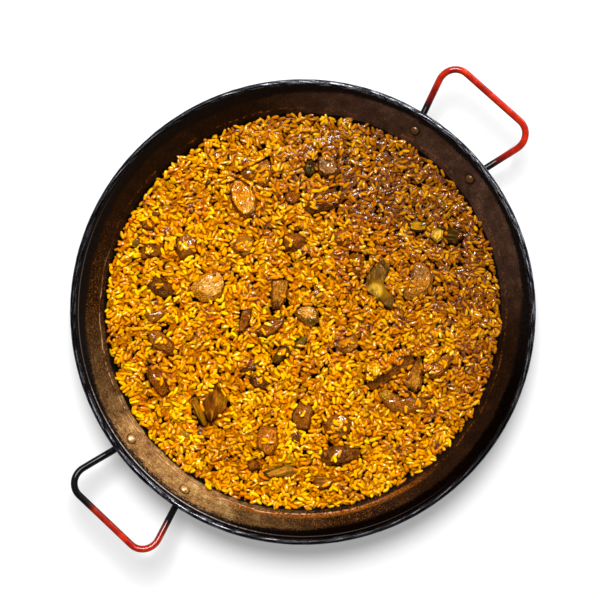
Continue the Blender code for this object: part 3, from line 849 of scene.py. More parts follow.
def copies_tree():
    tree = bpy.data.node_groups.new("lay_copies", "GeometryNodeTree")
    sockets = [
        ("Points", "NodeSocketGeometry"), ("Copy", "NodeSocketObject"), ("Finish", "NodeSocketMaterial"),
        ("Unevenness", "NodeSocketFloat"), ("Seed", "NodeSocketInt")]
    for name, kind in sockets:
        tree.interface.new_socket(name, in_out="INPUT", socket_type=kind)
    tree.interface.new_socket("Geometry", in_out="OUTPUT", socket_type="NodeSocketGeometry")

    def add(kind, inputs=None, **settings):
        """Add a node, set it up, and fill its inputs with values or with other nodes' sockets."""
        node = tree.nodes.new(kind)
        for name, value in settings.items():
            setattr(node, name, value)
        for socket, value in (inputs or {}).items():
            if isinstance(value, bpy.types.NodeSocket):
                tree.links.new(value, node.inputs[socket])
            else:
                node.inputs[socket].default_value = value
        return node.outputs

    given = add("NodeGroupInput")
    source = add("GeometryNodeObjectInfo", {"Object": given["Copy"]})
    turn = add("GeometryNodeInputNamedAttribute", {"Name": "turn"}, data_type="FLOAT_VECTOR")
    size = add("GeometryNodeInputNamedAttribute", {"Name": "size"}, data_type="FLOAT_VECTOR")
    to_turn = add("FunctionNodeEulerToRotation", {0: turn["Attribute"]})
    even = (1.0, 1.0, 1.0)
    spread = add("ShaderNodeVectorMath", {0: even, "Scale": given["Unevenness"]}, operation="SCALE")
    low = add("ShaderNodeVectorMath", {0: even, 1: spread[0]}, operation="SUBTRACT")
    high = add("ShaderNodeVectorMath", {0: even, 1: spread[0]}, operation="ADD")
    dice = add("FunctionNodeRandomValue", {0: low[0], 1: high[0], "Seed": given["Seed"]},
               data_type="FLOAT_VECTOR")
    scale = add("ShaderNodeVectorMath", {0: size["Attribute"], 1: dice[0]}, operation="MULTIPLY")
    lay = add("GeometryNodeInstanceOnPoints", {
        "Points": given["Points"], "Instance": source["Geometry"], "Rotation": to_turn[0], "Scale": scale[0]})
    real = add("GeometryNodeRealizeInstances", {"Geometry": lay["Instances"]})
    coated = add("GeometryNodeSetMaterial", {"Geometry": real["Geometry"], "Material": given["Finish"]})
    add("NodeGroupOutput", {"Geometry": coated["Geometry"]})
    return tree


COPIES = copies_tree()


def lay_copies(name, places, turns, sizes, copy, material,
               unevenness=0.0, seed=1, extra=None, replaced=()):
    """Put a copy of an object on every place and return the result as one plain mesh piece."""
    mesh = bpy.data.meshes.new(name)
    mesh.from_pydata([tuple(place) for place in places], [], [])
    store(mesh, "turn", "FLOAT_VECTOR", turns)
    store(mesh, "size", "FLOAT_VECTOR", sizes)
    for attribute, values in (extra or {}).items():
        store(mesh, attribute, "FLOAT", values)
    holder = linked(name + "_points", mesh)
    copies = holder.modifiers.new("copies", "NODES")
    copies.node_group = COPIES
    values = {"Copy": copy, "Finish": material, "Unevenness": unevenness, "Seed": seed}
    for socket in COPIES.interface.items_tree:
        if socket.item_type == "SOCKET" and socket.name in values:
            copies[socket.identifier] = values[socket.name]
    bpy.context.view_layer.update()
    evaluated = holder.evaluated_get(bpy.context.evaluated_depsgraph_get())
    result = bpy.data.meshes.new_from_object(evaluated)
    result.name = name
    for attribute in ("turn", "size"):
        if attribute in result.attributes:
            result.attributes.remove(result.attributes[attribute])
    bpy.data.objects.remove(holder, do_unlink=True)
    result.shade_smooth()
    return dress(name, result, replaced)


def hidden_source(name, bm):
    """An object that is only copied: it is kept out of the scene's collection."""
    return bpy.data.objects.new(name, mesh_from(name, bm))


# %% [markdown]
# A rivet is a turned piece: a polished dome inside the pan, a shank through the wall and the tab,
# and a low hammered tail outside. The dome is an ellipse, so that it catches one bright spot. The
# two at the upper right of the picture are browned like the wall round them.

# %% Rivets
HEAD_RADIUS = 0.0047
HEAD_HEIGHT = 0.0028
SHANK_RADIUS = 0.0023
TAIL_RADIUS = 0.0042
TAIL_HEIGHT = 0.0016
RIVET_SIDES = 28
DOME_STEPS = 7
HEAD_FLANK = 0.0004


def rivet_source():
    outline = []
    head_base = SHEET + 0.0001
    for step in range(DOME_STEPS + 1):
        angle = math.pi / 2 * step / DOME_STEPS
        outline.append((HEAD_RADIUS * math.sin(angle), head_base + 0.0003 + HEAD_HEIGHT * math.cos(angle)))
    tail = -(TAB_OFFSET + TAB_HALF_THICKNESS - 0.0001)
    flank = head_base - HEAD_FLANK
    outline += [(HEAD_RADIUS, flank), (SHANK_RADIUS, flank), (SHANK_RADIUS, tail)]
    outline += [(TAIL_RADIUS, tail), (TAIL_RADIUS * 0.92, tail - TAIL_HEIGHT * 0.6)]
    outline += [(TAIL_RADIUS * 0.6, tail - TAIL_HEIGHT), (0.0, tail - TAIL_HEIGHT)]
    bm = bmesh.new()
    verts = [bm.verts.new((radius, 0.0, height)) for radius, height in outline]
    edges = [bm.edges.new(pair) for pair in zip(verts, verts[1:])]
    bmesh.ops.spin(bm, geom=verts + edges, axis=(0, 0, 1), cent=(0, 0, 0),
                   steps=RIVET_SIDES, angle=2 * math.pi)
    bmesh.ops.remove_doubles(bm, verts=bm.verts, dist=0.000001)
    return hidden_source("rivet_shape", bm)


def rivet_finish():
    metal = Finish("rivet_metal")
    fine = metal.noise(0.0011, 3.0, rough=0.7)
    soft = metal.noise(0.004, 2.0)
    colour = metal.ramp(soft * 0.6 + fine * 0.4, [
        (0.36, 150, 100, 50), (0.52, 220, 178, 110), (0.68, 250, 230, 186)])
    browned = metal.step(metal.along(metal.place, GOLDEN_SHEEN_SIDE), 0.05, -0.05) * 0.9
    metal.set("Base Color", metal.mix(browned, colour, paint(88, 60, 38)))
    metal.set("Metallic", 0.7)
    metal.set("Roughness", 0.24 + fine * 0.16)
    metal.set("Normal", metal.bump(fine, 0.0002, 0.35))
    return metal.material


rivets = lay_copies(
    "rivets", [matrix.translation for matrix in RIVETS.values()],
    [tuple(matrix.to_euler("XYZ")) for matrix in RIVETS.values()], [(1, 1, 1)] * len(RIVETS),
    rivet_source(), rivet_finish(),
    replaced=["rivet_front_1", "rivet_front_2", "rivet_back_1", "rivet_back_2"])
print("rivets:", len(RIVETS), "triangles:", triangles(rivets.data))

# %% [markdown]
# The pork was cut into cubes, fried brown and then stewed in the rice, so every piece has a colour
# of its own on top, another one on its sides, mostly darker, which is partly browning and partly
# painted shade, and often a patch that is paler or burnt. The tables below were read off the
# photograph piece by piece. Loose grains stick to most of the pieces.

# %% Colours of the pieces
PALE = (222, 138, 22)
CREAM = (228, 160, 72)
ORANGE = (190, 106, 14)
BROWN = (138, 76, 14)
RED = (122, 60, 6)
DARK = (80, 38, 8)
MAROON = (66, 26, 8)
GREY = (134, 92, 52)
OLIVE = (96, 72, 10)
SHADE = (48, 30, 4)
KHAKI = (146, 92, 2)
OCHRE = (208, 132, 0)
SMOKE = (104, 68, 26)
HUSK = (142, 78, 6)
GILT = (192, 124, 36)
MOSS = (128, 84, 8)
BUTTER = (206, 156, 52)
AMBER = (164, 110, 8)
YELLOW = (186, 134, 34)
STRAW = (204, 158, 50)
TAN = (166, 106, 26)
# Each entry: colour of the top, colour of the sides, and how many loose grains lie on the piece.
LOOKS = {
    "pork_01": (PALE, RED, 0),
    "pork_02": (BROWN, RED, 7),
    "pork_03": (GREY, DARK, 2),
    "pork_04": (MAROON, DARK, 7),
    "pork_05": (RED, DARK, 1),
    "pork_06": (RED, MAROON, 3),
    "pork_07": (BROWN, RED, 4),
    "pork_08": (DARK, MAROON, 2),
    "pork_09": (CREAM, OCHRE, 1),
    "pork_10": (BROWN, RED, 4),
    "pork_11": (RED, MAROON, 3),
    "pork_12": (BROWN, RED, 3),
    "pork_13": (TAN, BROWN, 4),
    "pork_14": (TAN, RED, 1),
    "pork_15": (GILT, OLIVE, 0),
    "pork_16": (RED, DARK, 0),
    "pork_17": (RED, MAROON, 2),
    "pork_18": (RED, DARK, 5),
    "pork_19": (TAN, BROWN, 4),
    "pork_20": (DARK, MAROON, 2),
    "pork_21": (TAN, BROWN, 3),
    "pork_22": (BROWN, RED, 4),
    "pork_23": (RED, MAROON, 3),
    "pork_24": (BROWN, DARK, 2),
    "pork_25": (BROWN, RED, 4),
    "pork_26": (DARK, MAROON, 3),
    "pork_27": (ORANGE, BROWN, 3),
    "pork_28": (RED, MAROON, 0),
    "pork_29": (BROWN, DARK, 40),
    "pork_30": (GILT, DARK, 2),
    "pork_31": (BROWN, DARK, 3),
    "pork_32": (BROWN, RED, 2),
    "artichoke_01": (SHADE, SHADE, 0),
    "artichoke_02": (AMBER, OLIVE, 0),
    "artichoke_03": (BUTTER, STRAW, 0),
    "artichoke_04": (SHADE, MAROON, 1),
    "artichoke_05": (OLIVE, OLIVE, 1),
    "artichoke_06": (OLIVE, DARK, 4),
    "artichoke_07": (MOSS, SMOKE, 0),
    "artichoke_08": (HUSK, DARK, 0),
    "artichoke_09": (KHAKI, DARK, 0),
    "artichoke_10": (TAN, OLIVE, 0),
    "artichoke_11": (BROWN, KHAKI, 3),
}
# Each entry: column, row and radius in pixels of a patch of another colour on a piece.
PATCHES = [
    (375, 291, 9, STRAW), (388, 303, 7, SMOKE), (379, 272, 11, SMOKE), (384, 393, 8, YELLOW),
    (420, 271, 9, GREY), (413, 294, 9, TAN), (208, 403, 9, RED), (222, 399, 7, KHAKI),
    (198, 297, 11, OCHRE), (238, 190, 6, ORANGE), (249, 207, 7, CREAM), (272, 377, 6, RED),
    (416, 381, 7, GILT), (308, 311, 6, CREAM), (311, 322, 6, OLIVE), (276, 304, 5, MAROON),
]

# %% [markdown]
# The pieces that stand out most are drawn: their outline is read off the photograph, corner by
# corner, in its pixels. The top facet is the outline made smaller and pushed to one side, so the
# sides that the camera sees more of get broader. Two numbers shrink it, along and across the
# piece, and where the second is small the top becomes a ridge.

# %% Outlines of the drawn pieces
# Each entry: corners, push of the top in pixels, shrink along and across, height over the rice.
DRAWN = {
    "pork_01": (
        [(234, 180), (241, 181), (252, 190), (258, 200), (256, 210), (250, 217), (245, 219), (238, 214),
         (231, 202), (230, 189)],
        (-0.5, -2.5), 0.86, 0.86, 0.0070),
    "pork_02": (
        [(240, 173), (248, 168), (259, 163), (267, 159), (271, 166), (272, 177), (268, 186), (259, 188),
         (250, 183)],
        (1, -2), 0.84, 0.8, 0.0050),
    "pork_03": (
        [(318, 158), (325, 155), (334, 158), (337, 164), (340, 172), (335, 177), (326, 178), (318, 173)],
        (-1, -2), 0.8, 0.8, 0.0065),
    "pork_04": (
        [(304, 209), (310, 200), (318, 192), (330, 189), (342, 192), (345, 199), (338, 207), (326, 210),
         (312, 214)],
        (0, -1.5), 0.8, 0.65, 0.0055),
    "pork_09": (
        [(204, 274), (217, 271), (223, 277), (224, 287), (220, 297), (212, 302), (202, 302), (192, 296),
         (190, 288), (196, 280)],
        (3.5, -3.0), 0.74, 0.76, 0.0085),
    "pork_14": (
        [(271, 281), (280, 280), (289, 281), (288, 290), (286, 299), (283, 304), (280, 309), (273, 309),
         (271, 302)],
        (0, -1), 0.92, 0.78, 0.0050),
    "pork_15": (
        [(294, 313), (301, 308), (308, 306), (315, 308), (319, 315), (318, 322), (311, 328), (303, 323),
         (296, 317)],
        (0, -3), 0.8, 0.7, 0.0062),
    "pork_16": (
        [(242, 311), (252, 309), (251, 317), (248, 325), (244, 333), (239, 332), (240, 321)],
        (-0.5, -0.5), 0.94, 0.84, 0.0036),
    "pork_17": (
        [(255, 332), (263, 324), (273, 319), (285, 318), (282, 326), (275, 334), (267, 337), (259, 336)],
        (0.5, -1.0), 0.92, 0.82, 0.0040),
    "pork_21": (
        [(413, 263), (421, 262), (429, 268), (433, 277), (432, 288), (426, 295), (417, 300), (408, 301),
         (403, 297), (405, 289), (411, 281), (411, 271)],
        (1.5, -2.5), 0.76, 0.74, 0.0055),
    "pork_22": (
        [(428, 373), (433, 365), (441, 357), (449, 352), (453, 358), (449, 367), (443, 375), (436, 380),
         (430, 378)],
        (0, -1), 0.85, 0.75, 0.0045),
    "pork_29": (
        [(366, 381), (367, 370), (376, 361), (388, 355), (401, 350), (411, 352), (415, 362), (402, 372),
         (387, 382), (371, 391)],
        (-4.0, -5.0), 0.94, 0.5, 0.0095),
    "pork_30": (
        [(418, 357), (422, 365), (423, 378), (421, 389), (414, 393), (407, 387), (403, 382), (408, 375),
         (413, 366)],
        (4.0, 0.0), 0.92, 0.12, 0.0085),
    "pork_31": (
        [(379, 394), (385, 389), (393, 393), (402, 398), (414, 399), (428, 399), (427, 407), (415, 413),
         (402, 415), (391, 411), (384, 405)],
        (-1, -1), 0.86, 0.75, 0.0032),
    "artichoke_01": (
        [(305, 162), (311, 160), (316, 164), (316, 172), (311, 177), (305, 174), (303, 168)],
        (0, 0), 0.7, 0.6, 0.0030),
    "artichoke_02": (
        [(409, 222), (417, 220), (427, 224), (426, 231), (416, 232), (410, 230)],
        (0, -0.5), 0.9, 0.7, 0.0036),
    "artichoke_03": (
        [(432, 231), (438, 228), (443, 231), (443, 238), (437, 243), (431, 238)],
        (0, -0.5), 0.7, 0.6, 0.0048),
    "artichoke_04": (
        [(443, 231), (450, 226), (459, 229), (465, 237), (457, 243), (448, 243), (443, 238)],
        (0, 0), 0.8, 0.25, 0.0045),
    "artichoke_07": (
        [(368, 274), (375, 266), (384, 262), (390, 264), (389, 272), (385, 279), (382, 285), (388, 291),
         (394, 297), (394, 305), (391, 310), (383, 306), (375, 299), (368, 291), (366, 283)],
        (0.5, -0.5), 0.94, 0.66, 0.0046),
    "artichoke_08": (
        [(216, 384), (221, 390), (228, 400), (226, 409), (219, 417), (210, 424), (204, 413), (203, 401),
         (207, 392)],
        (-0.5, -1), 0.95, 0.14, 0.0080),
}


# %% [markdown]
# Every piece is a cage that is subdivided and then moved by noise, coarse for lumps and stretched
# along the piece for fibres. The cage is the drawn outline, or else the welded construction solid
# with a few flat cuts. A cube that is subdivided the plain way keeps hard corners, and the rounded
# way turns it into an egg, so the points are taken from between the two.

# %% Cages of the pork and the artichoke
LUMPS = {"pork": (0.0007, 0.0060), "artichoke": (0.0005, 0.0080)}
FIBRES = {"pork": (0.00045, 0.0110, 0.0017), "artichoke": (0.00035, 0.0200, 0.0013)}
PITS = (0.00030, 0.0020)
SUBDIVISIONS = 3
DRAWN_SUBDIVISIONS = 4
ROUNDING = 0.20
DRAWN_ROUNDING = 0.07
SIDE_CUTS = {"pork": 5, "artichoke": 4}
CUT_RISE = (0.15, 0.95)
TOP_TILT = (0.06, 0.38)
CUT_REACH = (0.70, 0.86)
CUT_FIRMNESS = 0.94
SWELL_BEFORE_CUTS = np.array((1.13, 1.13, 1.06))
PLAN_STRETCH = 0.016
BURIED = 0.0060
SHOULDER = 0.12
SHADED_SIDE = 0.30
PATCH_RISE = 0.005


def long_axis(points):
    """Direction in plan of a cloud of points' longest side."""
    flat = points[:, :2] - points[:, :2].mean(0)
    _, vectors = np.linalg.eigh(flat.T @ flat)
    return Vector((vectors[0, 1], vectors[1, 1], 0.0))


def subdivided(cage, way, levels):
    layer = cage.modifiers.new("subdivide", "SUBSURF")
    layer.subdivision_type = way
    layer.levels = levels
    layer.render_levels = levels
    bpy.context.view_layer.update()
    mesh = bpy.data.meshes.new_from_object(cage.evaluated_get(bpy.context.evaluated_depsgraph_get()))
    cage.modifiers.clear()
    return mesh, np.array([vert.co for vert in mesh.vertices])


def soften(bm, levels, rounding):
    """Subdivide a cage. Between the flat and the fully rounded way lies a shape with soft corners."""
    cage = linked("cage", mesh_from("cage", bm))
    _, flat_points = subdivided(cage, "SIMPLE", levels)
    smooth, round_points = subdivided(cage, "CATMULL_CLARK", levels)
    bpy.data.objects.remove(cage, do_unlink=True)
    return smooth, flat_points * (1 - rounding) + round_points * rounding


def draw_solid(corners, push, shrink_along, shrink_across, height):
    """A cut piece from its outline: a buried foot, upright sides and a smaller, pushed top facet."""
    bm = bmesh.new()
    column = sum(corner[0] for corner in corners) / len(corners)
    row = sum(corner[1] for corner in corners) / len(corners)
    middle = from_picture(column, row, RICE_TOP)
    base = rice_level(middle.x, middle.y)
    outline = [from_picture(*corner, base) for corner in corners]
    pushed = from_picture(column + push[0], row + push[1], base + height)
    along = long_axis(np.array([tuple(point) for point in outline]))
    top = []
    for point in outline:
        offset = point - middle
        part = along * offset.dot(along)
        top.append(pushed + part * shrink_along + (offset - part) * shrink_across)
    rings = []
    levels = ((outline, base - BURIED), (outline, base + height * SHOULDER), (top, base + height))
    for points, level_here in levels:
        rings.append([bm.verts.new((point.x, point.y, level_here)) for point in points])
    bridge(bm, rings)
    bm.faces.new(rings[0])
    bm.faces.new(rings[-1])
    return soften(bm, DRAWN_SUBDIVISIONS, DRAWN_ROUNDING)


def refine(node):
    """A welded and subdivided copy of a construction solid, as large as the solid."""
    bm = bmesh.new()
    bm.from_mesh(node.data)
    bmesh.ops.remove_doubles(bm, verts=bm.verts, dist=0.00001)
    bmesh.ops.join_triangles(bm, faces=bm.faces, angle_face_threshold=1.2, angle_shape_threshold=1.8)
    smooth, points = soften(bm, SUBDIVISIONS, ROUNDING)
    low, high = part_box(node.name)
    span = points.max(0) - points.min(0)
    points = (points - points.min(0)) / span * np.array(high - low) + np.array(low)
    points[:, :2] += points[:, :2].mean(0) * PLAN_STRETCH
    return smooth, points


def cut_flat(points, sides, dice):
    """Push in the points that lie beyond a few planes, as a knife would leave them."""
    middle = points.mean(0)
    top = points[:, 2].max()
    points = (points - middle) * SWELL_BEFORE_CUTS
    start = dice.random() * 2 * math.pi
    for number in range(sides + 1):
        angle = start + 2 * math.pi * (number + dice.uniform(-0.3, 0.3)) / sides
        rise = dice.uniform(*CUT_RISE) if number < sides else math.pi / 2 - dice.uniform(*TOP_TILT)
        flat = math.cos(rise)
        facing = np.array([math.cos(angle) * flat, math.sin(angle) * flat, math.sin(rise)])
        out = points @ facing
        plane = out.max() * dice.uniform(*CUT_REACH)
        points = points - np.maximum(out - plane, 0)[:, None] * facing * CUT_FIRMNESS
    points += middle
    points[:, 2] += top - points[:, 2].max()
    return points


# %% [markdown]
# A piece's colour and its own coordinates, which run along it, are stored on its points, so one
# finish serves every piece and its fibres still follow each. The side turned away from the light
# is made a little darker.

# %% Dress the pork and the artichoke


def flesh_colours(name, points, normals):
    """Colour of every point of a piece, from its table entry and the patches that reach it."""
    top_colour, side_colour, _ = LOOKS[name]
    # Painted shade: steep sides take the side colour, mostly darker than the top.
    share = np.array([clamp((0.90 - normal.z) / 0.42) for normal in normals])[:, None]
    blend = np.array(paint(*top_colour)) * (1 - share) + np.array(paint(*side_colour)) * share
    for column, row, radius, colour in PATCHES:
        place = from_picture(column, row, RICE_TOP + PATCH_RISE)
        far = np.hypot(points[:, 0] - place.x, points[:, 1] - place.y) / (radius * FRAME_WIDTH / PIXELS)
        share = np.clip((1 - far) * 2.5, 0, 0.85)[:, None]
        blend = blend * (1 - share) + np.array(paint(*colour)) * share
    away = [clamp(-normal.dot(RIGHT) * 0.9 - normal.dot(UP) * 0.5) for normal in normals]
    blend[:, :3] *= 1 - SHADED_SIDE * np.array(away)[:, None]
    return blend


def roughen(name, kind, points, normals):
    """Lumps, fibres and pits. Returns each point's own coordinates and its place after the move."""
    centre = Vector(points.mean(0))
    along = long_axis(points)
    across = Vector((-along.y, along.x, 0.0))
    shift = Vector((sum(ord(letter) for letter in name) * 0.013, len(name) * 0.1, 0.0)) + centre * 9
    lump, lump_size = LUMPS[kind]
    fibre, fibre_long, fibre_wide = FIBRES[kind]
    pit, pit_size = PITS
    local = []
    moved = []
    low = points[:, 2].min()
    for point, normal in zip(points, normals):
        offset = Vector(point) - centre
        own = Vector((offset.dot(along), offset.dot(across), offset.z))
        local.append(own + shift)
        move = lump * noise.noise((own + shift) / lump_size)
        grain = Vector((own.x / fibre_long, own.y / fibre_wide, own.z / fibre_wide)) + shift * 50
        move += fibre * (noise.noise(grain) - 0.5 * abs(noise.noise(grain * 0.5)))
        move += pit * noise.noise((own + shift) / pit_size)
        if point[2] < low + 0.001:
            move = 0.0
        moved.append(Vector(point) + normal * move)
    return local, moved


def dress_topping(name, material):
    kind = name.split("_")[0]
    if name in DRAWN:
        mesh, points = draw_solid(*DRAWN[name])
    else:
        mesh, points = refine(nodes[name])
        points = cut_flat(points, SIDE_CUTS[kind], random.Random(name))
    mesh.vertices.foreach_set("co", points.ravel())
    mesh.update()
    mesh.name = name
    normals = [vert.normal.copy() for vert in mesh.vertices]
    local, moved = roughen(name, kind, points, normals)
    mesh.vertices.foreach_set("co", np.array(moved).ravel())
    store(mesh, "own", "FLOAT_VECTOR", local)
    store(mesh, "flesh", "FLOAT_COLOR", flesh_colours(name, points, normals))
    mesh.update()
    mesh.shade_smooth()
    mesh.materials.clear()
    mesh.materials.append(material)
    return dress(f"{name}_fine", mesh, [name])


def pork_finish():
    """Browned meat: fibres, a mottle of orange and burnt specks, pale specks that are partly painted glints,
    a film of sauce and wet glints.
    """
    meat = Finish("browned_pork", Coat_Roughness=0.08, Coat_IOR=1.7, Specular_IOR_Level=0.0)
    own = meat.attribute("own", "Vector")
    flesh = meat.attribute("flesh", "Color")
    strands = meat.noise(0.006, 3.0, vector=meat.stretch(own, (1.0, 4.0, 4.0)), rough=0.65)
    fine = meat.noise(0.0016, 3.0, vector=own, rough=0.7)
    specks = meat.noise(0.0024, 2.0, vector=meat.stretch(own, (0.8, 1.2, 1.2)), rough=0.6)
    blotch = meat.noise(0.007, 3.0, vector=own)
    # Painted highlight: light, the pale colour of the specks, partly stands for glints.
    light = meat.mix(0.7, flesh, meat.mix(0.10, flesh, paint(255, 210, 96)), "ADD")
    deep = meat.mix(0.76, flesh, paint(28, 12, 0))
    colour = meat.mix(meat.step(strands * 0.6 + specks * 0.4, 0.36, 0.58), deep, flesh)
    colour = meat.mix(meat.step(specks + (fine - 0.5) * 0.5, 0.54, 0.68) * 0.75, colour, light)
    sauce = meat.step(blotch, 0.48, 0.62)
    colour = meat.mix(sauce * 0.35, colour, paint(164, 94, 0))
    grit = meat.noise(0.0013, 2.0, vector=meat.stretch(own, (0.7, 1.3, 1.3)))
    mottle = meat.noise(0.0034, 3.0, vector=own, rough=0.75)
    rich = meat.mix(0.5, flesh, paint(166, 90, 0))
    colour = meat.mix(meat.step(mottle, 0.50, 0.42) * 0.8, colour, rich)
    colour = meat.mix(meat.step(grit, 0.53, 0.61) * 0.5, colour, light)
    colour = meat.mix(meat.step(grit, 0.45, 0.38) * 0.6, colour, deep)
    meat.set("Base Color", colour)
    meat.set("Roughness", 0.45 + fine * 0.25)
    meat.set("Coat Weight", meat.step(fine * 0.3 + grit * 0.5 + mottle * 0.2, 0.51, 0.56))
    first = meat.bump(strands, 0.0011, 0.9)
    second = meat.bump(fine * 1.5 + specks * 0.4, 0.0008, 0.9, first)
    meat.set("Normal", meat.bump(grit, 0.0007, 1.0, second))
    return meat.material


def artichoke_finish():
    """A stewed leaf: pale veins, dark folds and the same wet glints."""
    leaf = Finish("stewed_artichoke", Coat_Roughness=0.05, Coat_IOR=1.8, Specular_IOR_Level=0.0)
    own = leaf.attribute("own", "Vector")
    flesh = leaf.attribute("flesh", "Color")
    veins = leaf.noise(0.012, 3.0, vector=leaf.stretch(own, (1.0, 5.0, 4.0)), rough=0.6)
    fine = leaf.noise(0.0014, 3.0, vector=own, rough=0.7)
    blotch = leaf.noise(0.008, 2.0, vector=own)
    colour = leaf.mix(leaf.step(blotch, 0.36, 0.60), leaf.mix(0.6, flesh, paint(50, 34, 4)), flesh)
    pale = leaf.mix(0.7, flesh, leaf.mix(0.12, flesh, paint(236, 196, 96)), "ADD")
    colour = leaf.mix(leaf.step(veins, 0.54, 0.66) * 0.7, colour, pale)
    colour = leaf.mix(leaf.step(veins, 0.44, 0.34) * 0.7, colour, leaf.mix(0.7, flesh, paint(30, 16, 2)))
    leaf.set("Base Color", colour)
    leaf.set("Roughness", 0.34 + fine * 0.2)
    leaf.set("Coat Weight", leaf.step(fine, 0.60, 0.66) * 0.7)
    first = leaf.bump(veins, 0.0008, 0.7)
    leaf.set("Normal", leaf.bump(fine, 0.0006, 0.8, first))
    return leaf.material


finishes = {"pork": pork_finish(), "artichoke": artichoke_finish()}
toppings = {name: dress_topping(name, finishes[name.split("_")[0]]) for name in sorted(LOOKS)}
print("toppings:", len(toppings), "triangles:", sum(triangles(piece.data) for piece in toppings.values()))

# %% [markdown]
# The rice has to fit round everything that is already in the pan. A height map of half-millimetre
# cells holds the bed's underlying core, the wall and the toppings, found by casting a ray down on
# each piece. From it come three more maps: how high the rice is heaped against a piece, where a
# piece is kept bare, and the narrow crevices that open here and there beside a piece, whose holes
# are painted black as painted shade.

# %% The height map
BED_DEPTH = 0.0036
CORE_EDGE = 0.0052
CELL = 0.0005
MAP_HALF = 0.216
HEAP_REACH = 14
BARE_BELOW = 3
BARE_REACH = 5
BARE_SIDE = 0.80
CREVICE_CELLS = 7
CELLS = int(2 * MAP_HALF / CELL)
COARSE = 8
random.seed(20)
rng = np.random.default_rng(20)


def level_map():
    """The bed's level in every cell, worked out coarsely and blended between."""
    count = CELLS // COARSE + 2
    coarse = np.zeros((count, count))
    for row in range(count):
        for column in range(count):
            x = column * COARSE * CELL - MAP_HALF
            y = row * COARSE * CELL - MAP_HALF
            coarse[row, column] = rice_level(x, y)
    where = np.arange(CELLS) / COARSE
    low = where.astype(int)
    part = where - low
    rows = coarse[low] * (1 - part)[:, None] + coarse[low + 1] * part[:, None]
    return rows[:, low] * (1 - part) + rows[:, low + 1] * part


# %% Map of the bed before the toppings
centres = (np.arange(CELLS) + 0.5) * CELL - MAP_HALF
grid_x, grid_y = np.meshgrid(centres, centres)
grid_r = np.hypot(grid_x, grid_y)
level = level_map()
wall_height = (grid_r - inner_radius(0.0)) * math.tan(WALL_ANGLE)
core_height = np.where(grid_r < inner_radius(RICE_TOP) - CORE_EDGE, level - BED_DEPTH + 0.0004, 0.004)
heights = np.maximum(core_height, wall_height)
print("map of", CELLS, "by", CELLS, "cells, up to", round(float(heights.max()), 4), "high")

# %% Stamp the toppings on the map


def stamp_topping(piece):
    """Raise the map to the top of a piece, and return the cells that it covers."""
    mesh = piece.data
    verts = [vert.co for vert in mesh.vertices]
    tree = BVHTree.FromPolygons(verts, [tuple(polygon.vertices) for polygon in mesh.polygons])
    low = np.array(verts).min(0)
    high = np.array(verts).max(0)
    covered = []
    first_column, last_column = int((low[0] + MAP_HALF) / CELL), int((high[0] + MAP_HALF) / CELL)
    first_row, last_row = int((low[1] + MAP_HALF) / CELL), int((high[1] + MAP_HALF) / CELL)
    for row in range(first_row, last_row + 1):
        for column in range(first_column, last_column + 1):
            start = Vector((centres[column], centres[row], 0.1))
            hit = tree.ray_cast(start, Vector((0.0, 0.0, -1.0)))[0]
            if hit and hit.z > heights[row, column]:
                heights[row, column] = hit.z
                covered.append((row, column))
    return covered


covered_cells = {name: stamp_topping(piece) for name, piece in toppings.items()}
print("cells under toppings:", sum(len(cells) for cells in covered_cells.values()))

# %% [markdown]
# A blurred copy of the toppings' heights is the heap: grains may lie higher where it is high. Pieces
# with few loose grains are kept bare, and so are the sides of the drawn ones.

# %% Heaps, bare cells and crevices


def spread_out(values, reach):
    """Blur a map with a square window, twice, so that it falls off smoothly."""
    for axis in (0, 1, 0, 1):
        sums = np.cumsum(np.insert(values, 0, 0, axis), axis)
        count = values.shape[axis]
        first = np.clip(np.arange(count) - reach // 2, 0, count)
        last = np.clip(np.arange(count) + reach // 2 + 1, 0, count)
        values = (np.take(sums, last, axis) - np.take(sums, first, axis)) / reach
    return values


standing = np.zeros_like(heights)
bare = np.zeros_like(heights)
for name, cells in covered_cells.items():
    for row, column in cells:
        standing[row, column] = max(heights[row, column] - level[row, column], 0.0)
    top = max(standing[cell] for cell in cells)
    for cell in cells:
        on_side = name in DRAWN and standing[cell] < BARE_SIDE * top
        bare[cell] = LOOKS[name][2] <= BARE_BELOW or on_side
heap = spread_out(standing, HEAP_REACH)
bare = spread_out(bare, BARE_REACH) > 0.8


def crevices():
    """Cells just beside each piece, where the rice has sunk away."""
    covered = np.zeros(heights.shape)
    for cells in covered_cells.values():
        covered[tuple(np.array(cells).T)] = 1.0
    return (spread_out(covered, CREVICE_CELLS) > 0.03) & (covered < 0.5)


crevice = crevices()
print("bare cells:", int(bare.sum()), "crevice cells:", int(crevice.sum()))

# %% [markdown]
# Under the grains lies a dark core: rice too deep to see, bound with brown sauce. It is a low
# lumpy disc a few millimetres below the grains, and it only shows as the dark between them. In
# the upper right of the picture the sauce stands higher and glistens between the grains.

# %% The core of the bed
CORE_RINGS = 130
CORE_STEPS = 480
FILM_DEPTH = 0.0019
SAUCE_DEPTH = 0.0012
HOLE_SIZE = 0.0044
HOLE_SHARE = 0.16
SAUCE_SIDE = UP * 0.62 + RIGHT * 0.78
LUMP_HEIGHT = 0.0007
LUMP_SIZE = 0.0035
# Each entry: height and radius of a ring of the core's foot, which tapers towards the base.
FOOT_RINGS = [(height, inner_radius(height) - 0.004) for height in (0.010, 0.005)]
FOOT_RINGS.append((0.0021, min(inner_radius(0.0021) - 0.0006, BASE_RADIUS - 0.006)))


def cell_at(x, y):
    return int((y + MAP_HALF) / CELL), int((x + MAP_HALF) / CELL)


def hole_share(x, y):
    """From 0 to 1: how far a place lies inside one of the small dark holes of the bed."""
    ragged = noise.noise(Vector((x, y, 2.0)) / HOLE_SIZE)
    if crevice[cell_at(x, y)]:
        return clamp((ragged + 0.02) / 0.12)
    return clamp((ragged - HOLE_SHARE) / 0.12)


